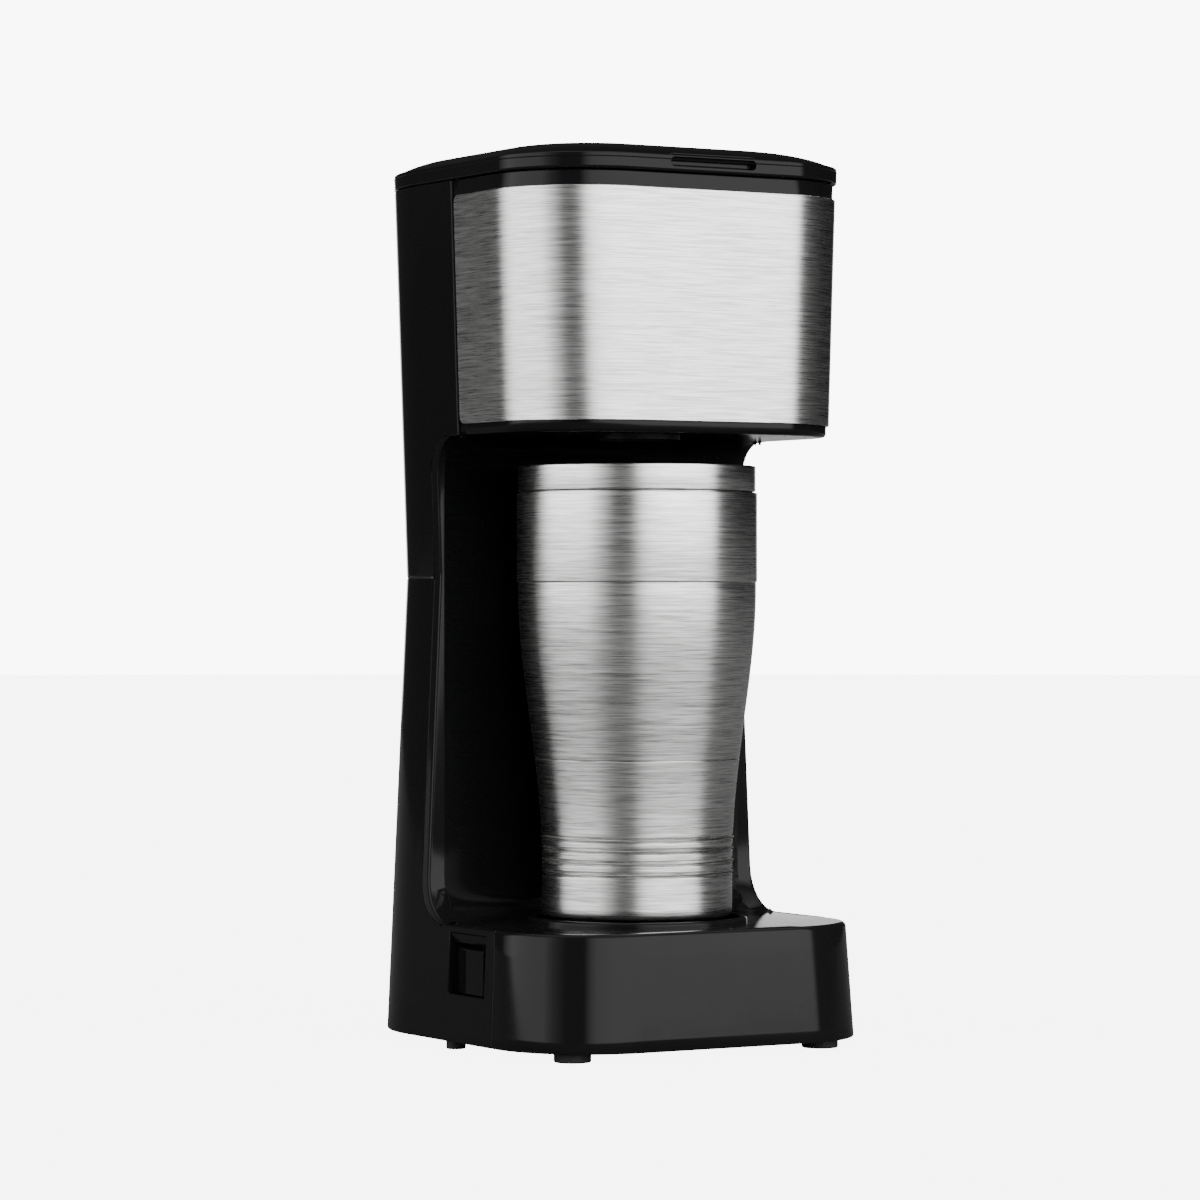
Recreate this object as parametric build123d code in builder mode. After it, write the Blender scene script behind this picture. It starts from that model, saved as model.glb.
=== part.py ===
from build123d import *
import os

os.makedirs("parts", exist_ok=True)

# Single-serve drip coffee maker with its own steel travel mug. Millimetres, +Z up, front faces -Y.
# The origin is the centre of the footprint on the surface that the feet stand on.

# --- Housing outline -------------------------------------------------------------------------
FOOT_HEIGHT = 3.6            # underside of the housing above the table
DECK_TOP = 44.5              # floor of the mug bay
WAIST_Z = 167.4              # narrowest level, where the two rear shells meet
BAY_CEILING = 217.5          # underside of the head
HEAD_TOP = 307.8             # rim that the lid closes on
BOTTOM_HALF = 70.6           # half width at the bottom edge
WAIST_HALF = 63.25           # half width at the waist
TOP_HALF = 67.85             # half width at the head rim
FRONT_BOTTOM_Y = -79.1
FRONT_DECK_Y = -76.5
REAR_BOTTOM_Y = 79.1
REAR_WAIST_Y = 77.6
REAR_TOP_Y = 78.4
FRONT_CORNER = 36.0          # plan corner radii
REAR_CORNER = 55.0
WALL = 2.4
SEAT_GAP = 0.2               # assembly gap between mouldings

# --- Seams and bay ---------------------------------------------------------------------------
BASE_SEAM_Y = -38.3          # front cover meets the lower rear shell
HEAD_SEAM_Y = -5.0           # head front shell meets the upper rear shell
LIP_Y = 15.3                 # front edge of the rear shells beside the bay
BAY_EDGE_Y = 10.5            # front edge of the bay liner
BAY_BACK_Y = 30.0            # deepest point of the hollow back wall
BAY_HALF = 62.0
LIP_LOW_RADIUS = 16.0
LIP_HIGH_RADIUS = 12.0
BAY_SAG = BAY_BACK_Y - BAY_EDGE_Y
BAY_RADIUS = (BAY_HALF**2 + BAY_SAG**2) / (2 * BAY_SAG)
BAY_CENTRE_Y = BAY_BACK_Y - BAY_RADIUS

# --- Head, panel and lid ---------------------------------------------------------------------
HEAD_STEP = 1.0              # the head front shell stands this far inside the rear shells
HEAD_FRONT_Y = -70.4
PANEL_LOW = 221.5
PANEL_HIGH = 302.4
PANEL_EDGE_Y = -6.3          # where the steel panel ends on both sides
PANEL_CORNER = 3.0
LID_HALF = 67.9
LID_FRONT_Y = -72.0
LID_REAR_Y = 78.6
LID_GAP = 0.3
LID_RIM = 313.7              # top edge of the lid's upright rim
LID_TOP = 320.0
LID_WALL = 2.2
CROWN_INSET = 0.8
CROWN_RADIUS = 880.0
CROWN_EDGE = 3.4             # rounding where the crown meets the rim
GRIP_WIDTH = 35.0            # finger slot in the lid's front rim
GRIP_LOW = 309.7
GRIP_HIGH = 313.2
GRIP_DEPTH = 3.0

LINER_TOP = 310.8            # the lid's inner plate is screwed to posts under the crown
LINER_REAR_Y = 71.5
LID_POSTS = [(-40, -30), (40, -30), (-40, 34), (40, 34)]

# --- Lid hinge -------------------------------------------------------------------------------
HINGE_Y = 75.9
HINGE_Z = 305.2
KNUCKLE_RADIUS = 3.2
HINGE_PIN_RADIUS = 1.5
HINGE_RUN = 0.06             # radial running clearance of the lid's knuckle
LID_KNUCKLE_HALF = 8.0
HINGE_HALF = 14.0
HINGE_RELIEF_HALF = 30.0     # rear rim stretch that dips so the lid can swing back
HINGE_RELIEF_Z = 306.0

# --- Mug -------------------------------------------------------------------------------------
MUG_Y = -20.0
MUG_BOTTOM = 46.8
MUG_STEM_RADIUS = 34.1
MUG_STEM_TOP = 63.0
MUG_MIDDLE_RADIUS = 38.4     # a point on the S-curve between stem and shoulder
MUG_MIDDLE_Z = 116.0
MUG_SHOULDER_RADIUS = 42.7
MUG_SHOULDER_Z = 163.0
MUG_COLLAR_RADIUS = 43.1
MUG_COLLAR_LOW = 165.5
MUG_COLLAR_HIGH = 197.9
MUG_RING_RADIUS = 42.5
MUG_TOP = 207.2
MUG_WALL = 0.9
MUG_LINER_GAP = 3.4          # from the outer surface to the liner's outer surface
MUG_PAD_RADIUS = 27.0
MUG_PAD_THICKNESS = 0.4

# --- Brew parts ------------------------------------------------------------------------------
BASKET_TOP_RADIUS = 42.0
BASKET_RIM_Z = 303.0
BASKET_FLANGE_RADIUS = 46.0
FUNNEL_RADIUS = 22.0
FUNNEL_Z = 236.0
OUTLET_RADIUS = 15.5
OUTLET_LOW = 216.6
TANK_HALF = 46.0
TANK_FRONT_Y = 35.0
TANK_REAR_Y = 72.4
TANK_FRONT_RADIUS = 6.0
TANK_REAR_RADIUS = 29.0
TANK_LOW = 178.0
TANK_WALL = 2.0
HOSE_RADIUS = 4.0
HOSE_BORE = 2.5
HEATER_Z = 24.0
HEATER_HALF = 30.0           # half spacing of the heater's two legs
HEATER_BEND_Y = -10.0
HEATER_LEG_Y = 20.0
RISER_X = 51.5
RISER_Y = 38.0
INLET_Y = 52.0

ARM_LOW = 304.6
BRACKET_LOW = 9.4
BRACKET_THICKNESS = 1.2
WIRE_RADIUS = 1.2
TERMINALS = (2.8, 7.0)       # heights of the two switch terminals above the switch centre
VALVE_LOW = 100.0
VALVE_HIGH = 130.0
FILTER_LOW = 245.0
FILTER_LOW_RADIUS = 22.6
FILTER_TOP_RADIUS = 39.5
LID_FLOOR = 201.0            # top face of the travel lid inside its steel ring
LID_PLUG_LOW = 190.0
SEAL_RADIUS = 38.3

# --- Switch ----------------------------------------------------------------------------------
SWITCH_Y = -19.2
SWITCH_Z = 28.9
SWITCH_AXIS_X = -64.0
RECESS_FLOOR_X = -62.2
RECESS_HALF = 13.0           # half length of the recess along the side of the base
RECESS_LOW = 20.6
RECESS_SHOULDER = 38.4       # a sloping band above the recess runs from here up to RECESS_HIGH
RECESS_HIGH = 42.0
ROCKER_HALF = 12.2           # half length of the rocker's two sloping faces
ROCKER_HEIGHT = 15.8
ROCKER_RIDGE = 5.2           # the ridge between the two faces stands this far out of the axis
ROCKER_END = 3.5
ROCKER_TILT = 8.0            # the rocker rests tilted this far, and clicks over to the other side
SWITCH_CAN_HALF = 9.5

# --- Feet and fasteners ----------------------------------------------------------------------
FOOT_RADIUS = 6.5
FRONT_FEET = [(-51, -61.5), (51, -61.5)]
REAR_FEET = [(-44, 54), (44, 54)]
SIDE_FEET = [(-63, 0), (63, 0)]
BASE_SCREWS = [(-42, -50), (42, -50), (-58, 24), (58, 24)]
SCREW_RADIUS = 1.5
SCREW_HEAD_RADIUS = 3.0
BASE_THICKNESS = 2.4
HEATER_SCREWS = [(-14, -4), (14, -4)]
GLAND_Z = 20.0               # cord gland in the middle of the rear wall
GLAND_RADIUS = 5.5
GLAND_FLANGE = 7.8


def between(z, low, high):
    """Straight-line value at z between two (height, value) stations."""
    return low[1] + (high[1] - low[1]) * (z - low[0]) / (high[0] - low[0])


def half_width(z):
    """Half width of the housing: it narrows up to the waist, then widens again."""
    if z <= WAIST_Z:
        return between(z, (FOOT_HEIGHT, BOTTOM_HALF), (WAIST_Z, WAIST_HALF))
    return between(z, (WAIST_Z, WAIST_HALF), (HEAD_TOP, TOP_HALF))


def rear_y(z):
    """Rear face of the housing at height z."""
    if z <= WAIST_Z:
        return between(z, (FOOT_HEIGHT, REAR_BOTTOM_Y), (WAIST_Z, REAR_WAIST_Y))
    return between(z, (WAIST_Z, REAR_WAIST_Y), (HEAD_TOP, REAR_TOP_Y))


def front_y(z):
    """Front face of the base at height z."""
    return between(z, (FOOT_HEIGHT, FRONT_BOTTOM_Y), (DECK_TOP, FRONT_DECK_Y))


def rounded_plan(z, half, front, rear, front_radius, rear_radius):
    """Plan outline at height z: straight sides, two front and two rear corner arcs."""
    with BuildSketch(Plane.XY.offset(z)) as outline:
        with Locations((0, (front + rear) / 2)):
            Rectangle(2 * half, rear - front)
        fillet(outline.vertices().group_by(Axis.Y)[0], front_radius)
        fillet(outline.vertices().group_by(Axis.Y)[-1], rear_radius)
    return outline.sketch


def housing_plan(z, inset=0.0):
    """The whole housing outline at height z, moved inwards by inset."""
    radii = (FRONT_CORNER - inset, REAR_CORNER - inset)
    return rounded_plan(z, half_width(z) - inset, front_y(min(z, DECK_TOP)) + inset, rear_y(z) - inset, *radii)


def head_plan(z, inset=0.0):
    """Outline of the head front shell at height z, moved inwards by inset."""
    radii = (FRONT_CORNER - HEAD_STEP - inset, REAR_CORNER - HEAD_STEP - inset)
    half = half_width(z) - HEAD_STEP - inset
    return rounded_plan(z, half, HEAD_FRONT_Y + inset, rear_y(z) - HEAD_STEP - inset, *radii)


def lid_plan(z, inset=0.0):
    """Outline of the lid at height z, moved inwards by inset."""
    radii = (FRONT_CORNER - inset, REAR_CORNER - inset)
    return rounded_plan(z, LID_HALF - inset, LID_FRONT_Y + inset, LID_REAR_Y - inset, *radii)


def side_box(y_low, y_high, z_low, z_high):
    """A block across the whole width, between two depths and two heights."""
    with BuildPart() as block:
        with Locations((0, (y_low + y_high) / 2, (z_low + z_high) / 2)):
            Box(200, y_high - y_low, z_high - z_low)
    return block.part


def box_between(low, high):
    """A block between two opposite corners."""
    with BuildPart() as block:
        with Locations([tuple((a + b) / 2 for a, b in zip(low, high))]):
            Box(*[b - a for a, b in zip(low, high)])
    return block.part


def bay_block(edge_y):
    """The mug bay seen from the side: open at the front, rounded where it meets the rear shells."""
    with BuildPart() as bay:
        with BuildSketch(Plane.YZ) as side:
            with Locations(((edge_y - 100) / 2, (DECK_TOP + BAY_CEILING) / 2)):
                Rectangle(edge_y + 100, BAY_CEILING - DECK_TOP)
            rear_corners = side.vertices().group_by(Axis.X)[-1].sort_by(Axis.Y)
            fillet(rear_corners[0], LIP_LOW_RADIUS)
            fillet(side.vertices().group_by(Axis.Y)[-1].sort_by(Axis.X)[-1], LIP_HIGH_RADIUS)
        extrude(amount=100, both=True)
    return bay.part


def bay_cylinder(radius, low, high):
    """Upright cylinder whose rear wall is the hollow back of the mug bay."""
    with BuildPart() as drum:
        with BuildSketch(Plane.XY.offset(low)):
            with Locations((0, BAY_CENTRE_Y)):
                Circle(radius)
        extrude(amount=high - low)
    return drum.part


def upright(points, radius, low, high):
    """Equal upright cylinders on a list of plan points."""
    with BuildPart() as posts:
        with BuildSketch(Plane.XY.offset(low)):
            with Locations(*points):
                Circle(radius)
        extrude(amount=high - low)
    return posts.part


def along_y(centre, radius, low, high):
    """Cylinder along Y about the line at (x, z), from one depth to another."""
    with BuildPart() as bar:
        with BuildSketch(Plane.XZ.offset(-low)):
            with Locations(centre):
                Circle(radius)
        extrude(amount=low - high)
    return bar.part


def along_x(centre, radius, low, high):
    """Cylinder along X about the line at (y, z), from one side to the other."""
    with BuildPart() as bar:
        with BuildSketch(Plane.YZ.offset(low)):
            with Locations(centre):
                Circle(radius)
        extrude(amount=high - low)
    return bar.part


def ceiling_plate():
    """Underside of the head: it reaches back to the hollow rear wall of the bay."""
    with BuildPart() as plate:
        loft([head_plan(z, WALL + SEAT_GAP) for z in (BAY_CEILING, BAY_CEILING + WALL)], ruled=True)
        add(side_box(HEAD_FRONT_Y + WALL - 1, 100, 0, 300), mode=Mode.INTERSECT)
        add(bay_cylinder(BAY_RADIUS + WALL, 0, 300), mode=Mode.INTERSECT)
    return plate.part


def tank_plan(z, inset=0.0):
    """Outline of the tank at height z, moved inwards by inset."""
    radii = (TANK_FRONT_RADIUS - inset, TANK_REAR_RADIUS - inset)
    return rounded_plan(z, TANK_HALF - inset, TANK_FRONT_Y + inset, TANK_REAR_Y - inset, *radii)


def hose_straight(centre, low, high):
    """An upright length of hose."""
    with BuildPart() as tube:
        add(upright([centre], HOSE_RADIUS, low, high))
        add(upright([centre], HOSE_BORE, low, high), mode=Mode.SUBTRACT)
    return tube.part


def hose(points, bends, outer=HOSE_RADIUS, bore=HOSE_BORE):
    """A hose of straight runs joined by tangent arcs."""
    with BuildPart() as tube:
        with BuildLine() as route:
            FilletPolyline(*points, radius=bends)
        with BuildSketch(Plane(route.wire() @ 0, z_dir=route.wire() % 0)):
            Circle(outer)
            if bore:
                Circle(bore, mode=Mode.SUBTRACT)
        sweep()
    return tube.part


def cone_ring(stations, thickness):
    """Turned funnel wall about the brew axis through (radius, height) stations of its outer side."""
    inner = [(r - thickness, z) for r, z in reversed(stations)]
    with BuildPart() as funnel:
        with BuildSketch(Plane.XZ.offset(-MUG_Y)):
            with BuildLine():
                Polyline(*stations, *inner, close=True)
            make_face()
        revolve(axis=Axis((0, MUG_Y, 0), (0, 0, 1)))
    return funnel.part


def save(builder, name):
    """Label a finished piece and write its STEP file."""
    builder.part.label = name
    export_step(builder.part, f"parts/{name}.step")


# === Housing =================================================================================

with BuildPart() as base_plate:
    loft([housing_plan(z, WALL + SEAT_GAP) for z in (FOOT_HEIGHT, FOOT_HEIGHT + BASE_THICKNESS)], ruled=True)
    add(upright(HEATER_SCREWS, 3.5, FOOT_HEIGHT, BRACKET_LOW))
    add(upright(BASE_SCREWS, SCREW_RADIUS + SEAT_GAP, 0, 20), mode=Mode.SUBTRACT)
    add(upright(BASE_SCREWS, SCREW_HEAD_RADIUS + SEAT_GAP, 0, FOOT_HEIGHT + 1.2), mode=Mode.SUBTRACT)
    add(upright(HEATER_SCREWS, SCREW_RADIUS, 5, 20), mode=Mode.SUBTRACT)
    with BuildSketch(Plane.XY):
        with GridLocations(0, 6, 1, 7):
            with Locations((0, 34)):
                SlotOverall(40, 2.4)
    extrude(amount=20, mode=Mode.SUBTRACT)
save(base_plate, "base_plate")

with BuildPart() as base_front_cover:
    loft([housing_plan(FOOT_HEIGHT), housing_plan(DECK_TOP)], ruled=True)
    loft([housing_plan(FOOT_HEIGHT, WALL), housing_plan(DECK_TOP - WALL, WALL)], ruled=True, mode=Mode.SUBTRACT)
    add(side_box(BASE_SEAM_Y - SEAT_GAP, 100, 0, 60), mode=Mode.SUBTRACT)
    loft([housing_plan(z, WALL + SEAT_GAP) for z in (DECK_TOP - WALL, DECK_TOP)], ruled=True)
    add(upright(BASE_SCREWS[:2], 3.6, FOOT_HEIGHT + BASE_THICKNESS, DECK_TOP - WALL))
    add(upright(BASE_SCREWS[:2], SCREW_RADIUS, 0, 20), mode=Mode.SUBTRACT)
    add(bay_cylinder(BAY_RADIUS + WALL, FOOT_HEIGHT, DECK_TOP), mode=Mode.INTERSECT)
save(base_front_cover, "base_front_cover")

with BuildPart() as lower_rear_shell:
    loft([housing_plan(FOOT_HEIGHT), housing_plan(WAIST_Z - SEAT_GAP)], ruled=True)
    loft([housing_plan(FOOT_HEIGHT, WALL), housing_plan(WAIST_Z - SEAT_GAP, WALL)], ruled=True, mode=Mode.SUBTRACT)
    front, rear = SWITCH_Y - RECESS_HALF, SWITCH_Y + RECESS_HALF
    pocket_top = DECK_TOP - WALL - SEAT_GAP
    add(box_between((-half_width(30) + 1, front - 2, RECESS_LOW - 2), (RECESS_FLOOR_X + 2, rear + 2, pocket_top)))
    add(box_between((-80, front, RECESS_LOW), (RECESS_FLOOR_X, rear, RECESS_SHOULDER)), mode=Mode.SUBTRACT)
    with BuildSketch(Plane.XZ.offset(-front)):
        Polygon((-80, RECESS_SHOULDER - 1), (-67.2, RECESS_SHOULDER - 1), (-67.2, RECESS_SHOULDER),
                (-half_width(RECESS_HIGH), RECESS_HIGH), (-80, RECESS_HIGH), align=None)
    extrude(amount=front - rear, mode=Mode.SUBTRACT)
    can = SWITCH_CAN_HALF + SEAT_GAP
    add(box_between((-80, SWITCH_Y - can, SWITCH_Z - 7.7), (-50, SWITCH_Y + can, SWITCH_Z + 7.7)), mode=Mode.SUBTRACT)
    add(upright(BASE_SCREWS[2:], 3.6, FOOT_HEIGHT + BASE_THICKNESS, 24))
    for side in (-1, 1):
        ends = sorted((side * 60, side * 68.5))
        add(box_between((ends[0], 22.8, FOOT_HEIGHT + BASE_THICKNESS), (ends[1], 25.2, 24)))
    add(upright(BASE_SCREWS[2:], SCREW_RADIUS, 0, 18), mode=Mode.SUBTRACT)
    add(along_y((0, GLAND_Z), GLAND_FLANGE + 2, 73.5, 77.5))
    add(along_y((0, GLAND_Z), GLAND_FLANGE + SEAT_GAP, 76.8, 90), mode=Mode.SUBTRACT)
    add(along_y((0, GLAND_Z), GLAND_RADIUS, 60, 90), mode=Mode.SUBTRACT)
    add(bay_block(LIP_Y), mode=Mode.SUBTRACT)
    add(side_box(-100, BASE_SEAM_Y, 0, 200), mode=Mode.SUBTRACT)
save(lower_rear_shell, "lower_rear_shell")

with BuildPart() as upper_rear_shell:
    loft([housing_plan(WAIST_Z + SEAT_GAP), housing_plan(HEAD_TOP)], ruled=True)
    loft([housing_plan(WAIST_Z + SEAT_GAP, WALL), housing_plan(HEAD_TOP, WALL)], ruled=True, mode=Mode.SUBTRACT)
    add(bay_block(LIP_Y), mode=Mode.SUBTRACT)
    add(side_box(-100, HEAD_SEAM_Y, 200, 320), mode=Mode.SUBTRACT)
    low = HINGE_Z - KNUCKLE_RADIUS - 0.5
    add(box_between((-HINGE_RELIEF_HALF, 60, HINGE_RELIEF_Z), (HINGE_RELIEF_HALF, 90, 320)), mode=Mode.SUBTRACT)
    add(box_between((-HINGE_HALF, 60, low), (HINGE_HALF, 90, 320)), mode=Mode.SUBTRACT)
    for side in (-1, 1):
        ends = sorted((side * (LID_KNUCKLE_HALF + LID_GAP), side * HINGE_HALF))
        add(along_x((HINGE_Y, HINGE_Z), KNUCKLE_RADIUS, *ends))
        add(box_between((ends[0], REAR_TOP_Y - WALL, low - 1), (ends[1], REAR_TOP_Y - 0.1, HINGE_Z)))
    add(along_x((HINGE_Y, HINGE_Z), HINGE_PIN_RADIUS, -20, 20), mode=Mode.SUBTRACT)
save(upper_rear_shell, "upper_rear_shell")

with BuildPart() as side_strips:
    for ends in ((DECK_TOP, WAIST_Z), (WAIST_Z, BAY_CEILING)):
        loft([housing_plan(z) for z in ends], ruled=True)
    for ends in ((DECK_TOP, WAIST_Z), (WAIST_Z, BAY_CEILING)):
        loft([housing_plan(z, WALL) for z in ends], ruled=True, mode=Mode.SUBTRACT)
    add(bay_block(LIP_Y - SEAT_GAP), mode=Mode.INTERSECT)

with BuildPart() as cavity_liner:
    for ends in ((DECK_TOP, WAIST_Z), (WAIST_Z, BAY_CEILING)):
        loft([housing_plan(z, WALL) for z in ends], ruled=True)
    add(bay_cylinder(BAY_RADIUS + WALL, 0, 300), mode=Mode.INTERSECT)
    add(side_strips.part)
    add(bay_cylinder(BAY_RADIUS, 0, 300), mode=Mode.SUBTRACT)
save(cavity_liner, "cavity_liner")

with BuildPart() as head_front_shell:
    loft([head_plan(BAY_CEILING), head_plan(HEAD_TOP)], ruled=True)
    loft([head_plan(BAY_CEILING + WALL, WALL), head_plan(HEAD_TOP, WALL)], ruled=True, mode=Mode.SUBTRACT)
    add(side_box(HEAD_SEAM_Y - SEAT_GAP, 100, 0, 330), mode=Mode.SUBTRACT)
    add(ceiling_plate())
    add(upright([(0, MUG_Y)], OUTLET_RADIUS + 1.5, 200, 240), mode=Mode.SUBTRACT)
save(head_front_shell, "head_front_shell")

with BuildPart() as head_panel:
    loft([head_plan(PANEL_LOW, -HEAD_STEP), head_plan(PANEL_HIGH, -HEAD_STEP)], ruled=True)
    loft([head_plan(PANEL_LOW), head_plan(PANEL_HIGH)], ruled=True, mode=Mode.SUBTRACT)
    with BuildSketch(Plane.YZ) as panel_side:
        with Locations(((PANEL_EDGE_Y - 100) / 2, (PANEL_LOW + PANEL_HIGH) / 2)):
            Rectangle(PANEL_EDGE_Y + 100, PANEL_HIGH - PANEL_LOW)
        fillet(panel_side.vertices().group_by(Axis.X)[-1], PANEL_CORNER)
    extrude(amount=100, both=True, mode=Mode.INTERSECT)
save(head_panel, "head_panel")

# === Lid and hinge ===========================================================================

with BuildPart() as crown:
    with Locations((0, 0, LID_TOP - CROWN_RADIUS)):
        Sphere(CROWN_RADIUS)

with BuildPart() as crown_inside:
    with Locations((0, 0, LID_TOP - CROWN_RADIUS)):
        Sphere(CROWN_RADIUS - LID_WALL)

with BuildPart() as lid_hollow:
    loft([lid_plan(z, LID_WALL + CROWN_INSET) for z in (HEAD_TOP, LID_TOP)], ruled=True)
    add(crown_inside.part, mode=Mode.INTERSECT)

with BuildPart() as lid_outer:
    loft([lid_plan(z, CROWN_INSET) for z in (LID_RIM - 1, LID_TOP + 1)], ruled=True)
    add(crown.part, mode=Mode.INTERSECT)
    fillet(lid_outer.faces().sort_by(Axis.Z)[-1].outer_wire().edges(), CROWN_EDGE)
    loft([lid_plan(z) for z in (HEAD_TOP + LID_GAP, LID_RIM)], ruled=True)
    add(lid_hollow.part, mode=Mode.SUBTRACT)
    half = GRIP_WIDTH / 2
    add(box_between((-half - 2, LID_FRONT_Y + 1, HEAD_TOP + LID_GAP), (half + 2, LID_FRONT_Y + 5, LID_RIM)))
    add(box_between((-half, LID_FRONT_Y - 1, GRIP_LOW), (half, LID_FRONT_Y + GRIP_DEPTH, GRIP_HIGH)),
        mode=Mode.SUBTRACT)
    add(along_x((HINGE_Y, HINGE_Z), KNUCKLE_RADIUS + 0.4, -HINGE_HALF - 0.4, HINGE_HALF + 0.4), mode=Mode.SUBTRACT)
    add(along_x((HINGE_Y, HINGE_Z), KNUCKLE_RADIUS, -LID_KNUCKLE_HALF, LID_KNUCKLE_HALF))
    add(box_between((-LID_KNUCKLE_HALF, LID_REAR_Y - LID_WALL - 1, HINGE_Z),
                    (LID_KNUCKLE_HALF, LID_REAR_Y, LID_RIM - 1)))
    add(along_x((HINGE_Y, HINGE_Z), HINGE_PIN_RADIUS + HINGE_RUN, -20, 20), mode=Mode.SUBTRACT)
    add(upright(LID_POSTS, 3.5, LINER_TOP, LID_RIM + 3.4))
    add(upright(LID_POSTS, 1.2, LINER_TOP - 1, LID_RIM - 0.5), mode=Mode.SUBTRACT)
save(lid_outer, "lid_outer")

with BuildPart() as lid_inner:
    loft([lid_plan(z, LID_WALL + 1.2) for z in (LINER_TOP - 1.4, LINER_TOP)], ruled=True)
    add(side_box(LINER_REAR_Y, 100, 300, 330), mode=Mode.SUBTRACT)
    add(box_between((-half - 3, -80, 300), (half + 3, LID_FRONT_Y + 5.3, 330)), mode=Mode.SUBTRACT)
    add(upright(LID_POSTS, 1.3, 300, 330), mode=Mode.SUBTRACT)
save(lid_inner, "lid_inner")

with BuildPart() as lid_screws:
    add(upright(LID_POSTS, 1.2, LINER_TOP - 1.6, LINER_TOP + 2.2))
    add(upright(LID_POSTS, 2.2, LINER_TOP - 2.8, LINER_TOP - 1.6))
save(lid_screws, "lid_screws")

with BuildPart() as hinge_pin:
    add(along_x((HINGE_Y, HINGE_Z), HINGE_PIN_RADIUS, -HINGE_HALF, HINGE_HALF))
save(hinge_pin, "hinge_pin")

# === Tank, basket and filter =================================================================

with BuildPart() as water_tank:
    loft([tank_plan(TANK_LOW), tank_plan(BASKET_RIM_Z)], ruled=True)
    loft([tank_plan(TANK_LOW + TANK_WALL, TANK_WALL), tank_plan(BASKET_RIM_Z, TANK_WALL)],
         ruled=True, mode=Mode.SUBTRACT)
    add(upright([(-HEATER_HALF, INLET_Y)], HOSE_BORE, TANK_LOW - 9, TANK_LOW))
    add(upright([(-HEATER_HALF, INLET_Y)], HOSE_BORE - 0.8, TANK_LOW - 10, TANK_LOW + 5), mode=Mode.SUBTRACT)
save(water_tank, "water_tank")

with BuildPart() as brew_deck:
    loft([head_plan(z, WALL + SEAT_GAP) for z in (BASKET_RIM_Z - 2, BASKET_RIM_Z)], ruled=True)
    loft([tank_plan(z, -SEAT_GAP) for z in (BASKET_RIM_Z - 3, BASKET_RIM_Z + 1)], ruled=True, mode=Mode.SUBTRACT)
    add(upright([(0, MUG_Y)], BASKET_TOP_RADIUS + SEAT_GAP, 290, 310), mode=Mode.SUBTRACT)
    add(upright([(RISER_X, RISER_Y)], HOSE_RADIUS + SEAT_GAP, 290, 310), mode=Mode.SUBTRACT)
    add(box_between((-HINGE_HALF - 1, 72.0, 290), (HINGE_HALF + 1, 90, 310)), mode=Mode.SUBTRACT)
save(brew_deck, "brew_deck")

with BuildPart() as brew_basket:
    add(cone_ring([(OUTLET_RADIUS, OUTLET_LOW), (OUTLET_RADIUS, FUNNEL_Z - 10), (FUNNEL_RADIUS, FUNNEL_Z),
                   (BASKET_TOP_RADIUS, BASKET_RIM_Z)], 1.6))
    add(cone_ring([(BASKET_FLANGE_RADIUS, BASKET_RIM_Z), (BASKET_FLANGE_RADIUS, BASKET_RIM_Z + 1.4)], 5.6))
    add(upright([(0, MUG_Y)], OUTLET_RADIUS - 1, OUTLET_LOW + 2, OUTLET_LOW + 4))
    with Locations((0, MUG_Y, OUTLET_LOW + 3)):
        with PolarLocations(7, 6):
            Cylinder(2.2, 8, mode=Mode.SUBTRACT)
save(brew_basket, "brew_basket")

with BuildPart() as filter_frame:
    add(cone_ring([(FILTER_LOW_RADIUS, FILTER_LOW), (FILTER_TOP_RADIUS, BASKET_RIM_Z - 2.2)], 1.8))
    add(cone_ring([(FILTER_TOP_RADIUS, BASKET_RIM_Z - 2.2), (FILTER_TOP_RADIUS, BASKET_RIM_Z + 1.0)], 1.8))
    add(upright([(0, MUG_Y)], FILTER_LOW_RADIUS, FILTER_LOW - 1.6, FILTER_LOW))
    with Locations((0, MUG_Y, (FILTER_LOW + BASKET_RIM_Z) / 2 - 1)):
        with PolarLocations(0, 3):
            Box(110, 17, BASKET_RIM_Z - FILTER_LOW - 14, mode=Mode.SUBTRACT)
save(filter_frame, "filter_frame")

with BuildPart() as filter_mesh:
    add(cone_ring([(FILTER_LOW_RADIUS - 1.9, FILTER_LOW + 0.2), (FILTER_TOP_RADIUS - 1.9, BASKET_RIM_Z - 2.4)], 0.4))
save(filter_mesh, "filter_mesh")

with BuildPart() as shower_arm:
    with BuildSketch(Plane.XY.offset(ARM_LOW)):
        with BuildLine():
            Polyline((RISER_X, RISER_Y), (34, 30), (0, MUG_Y))
        trace(line_width=9)
        with Locations((0, MUG_Y)):
            Circle(13)
        with Locations((RISER_X, RISER_Y)):
            Circle(5.4)
    extrude(amount=3.4)
    with Locations((0, MUG_Y, ARM_LOW)):
        with PolarLocations(9, 8):
            Cylinder(1.0, 4, mode=Mode.SUBTRACT)
        Cylinder(11, 2.0, mode=Mode.SUBTRACT)
    add(upright([(RISER_X, RISER_Y)], HOSE_BORE, ARM_LOW - 8, ARM_LOW))
save(shower_arm, "shower_arm")

# === Water circuit ===========================================================================

with BuildPart() as riser_hose:
    add(hose([(HEATER_HALF, HEATER_LEG_Y + 7, HEATER_Z), (HEATER_HALF, RISER_Y, HEATER_Z),
              (RISER_X, RISER_Y, HEATER_Z), (RISER_X, RISER_Y, ARM_LOW - 0.1)], 8))
save(riser_hose, "riser_hose")

with BuildPart() as inlet_hose:
    add(hose([(-HEATER_HALF, INLET_Y, VALVE_LOW + 5), (-HEATER_HALF, INLET_Y, HEATER_Z),
              (-HEATER_HALF, HEATER_LEG_Y + 7, HEATER_Z)], 12))
save(inlet_hose, "inlet_hose")

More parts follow.
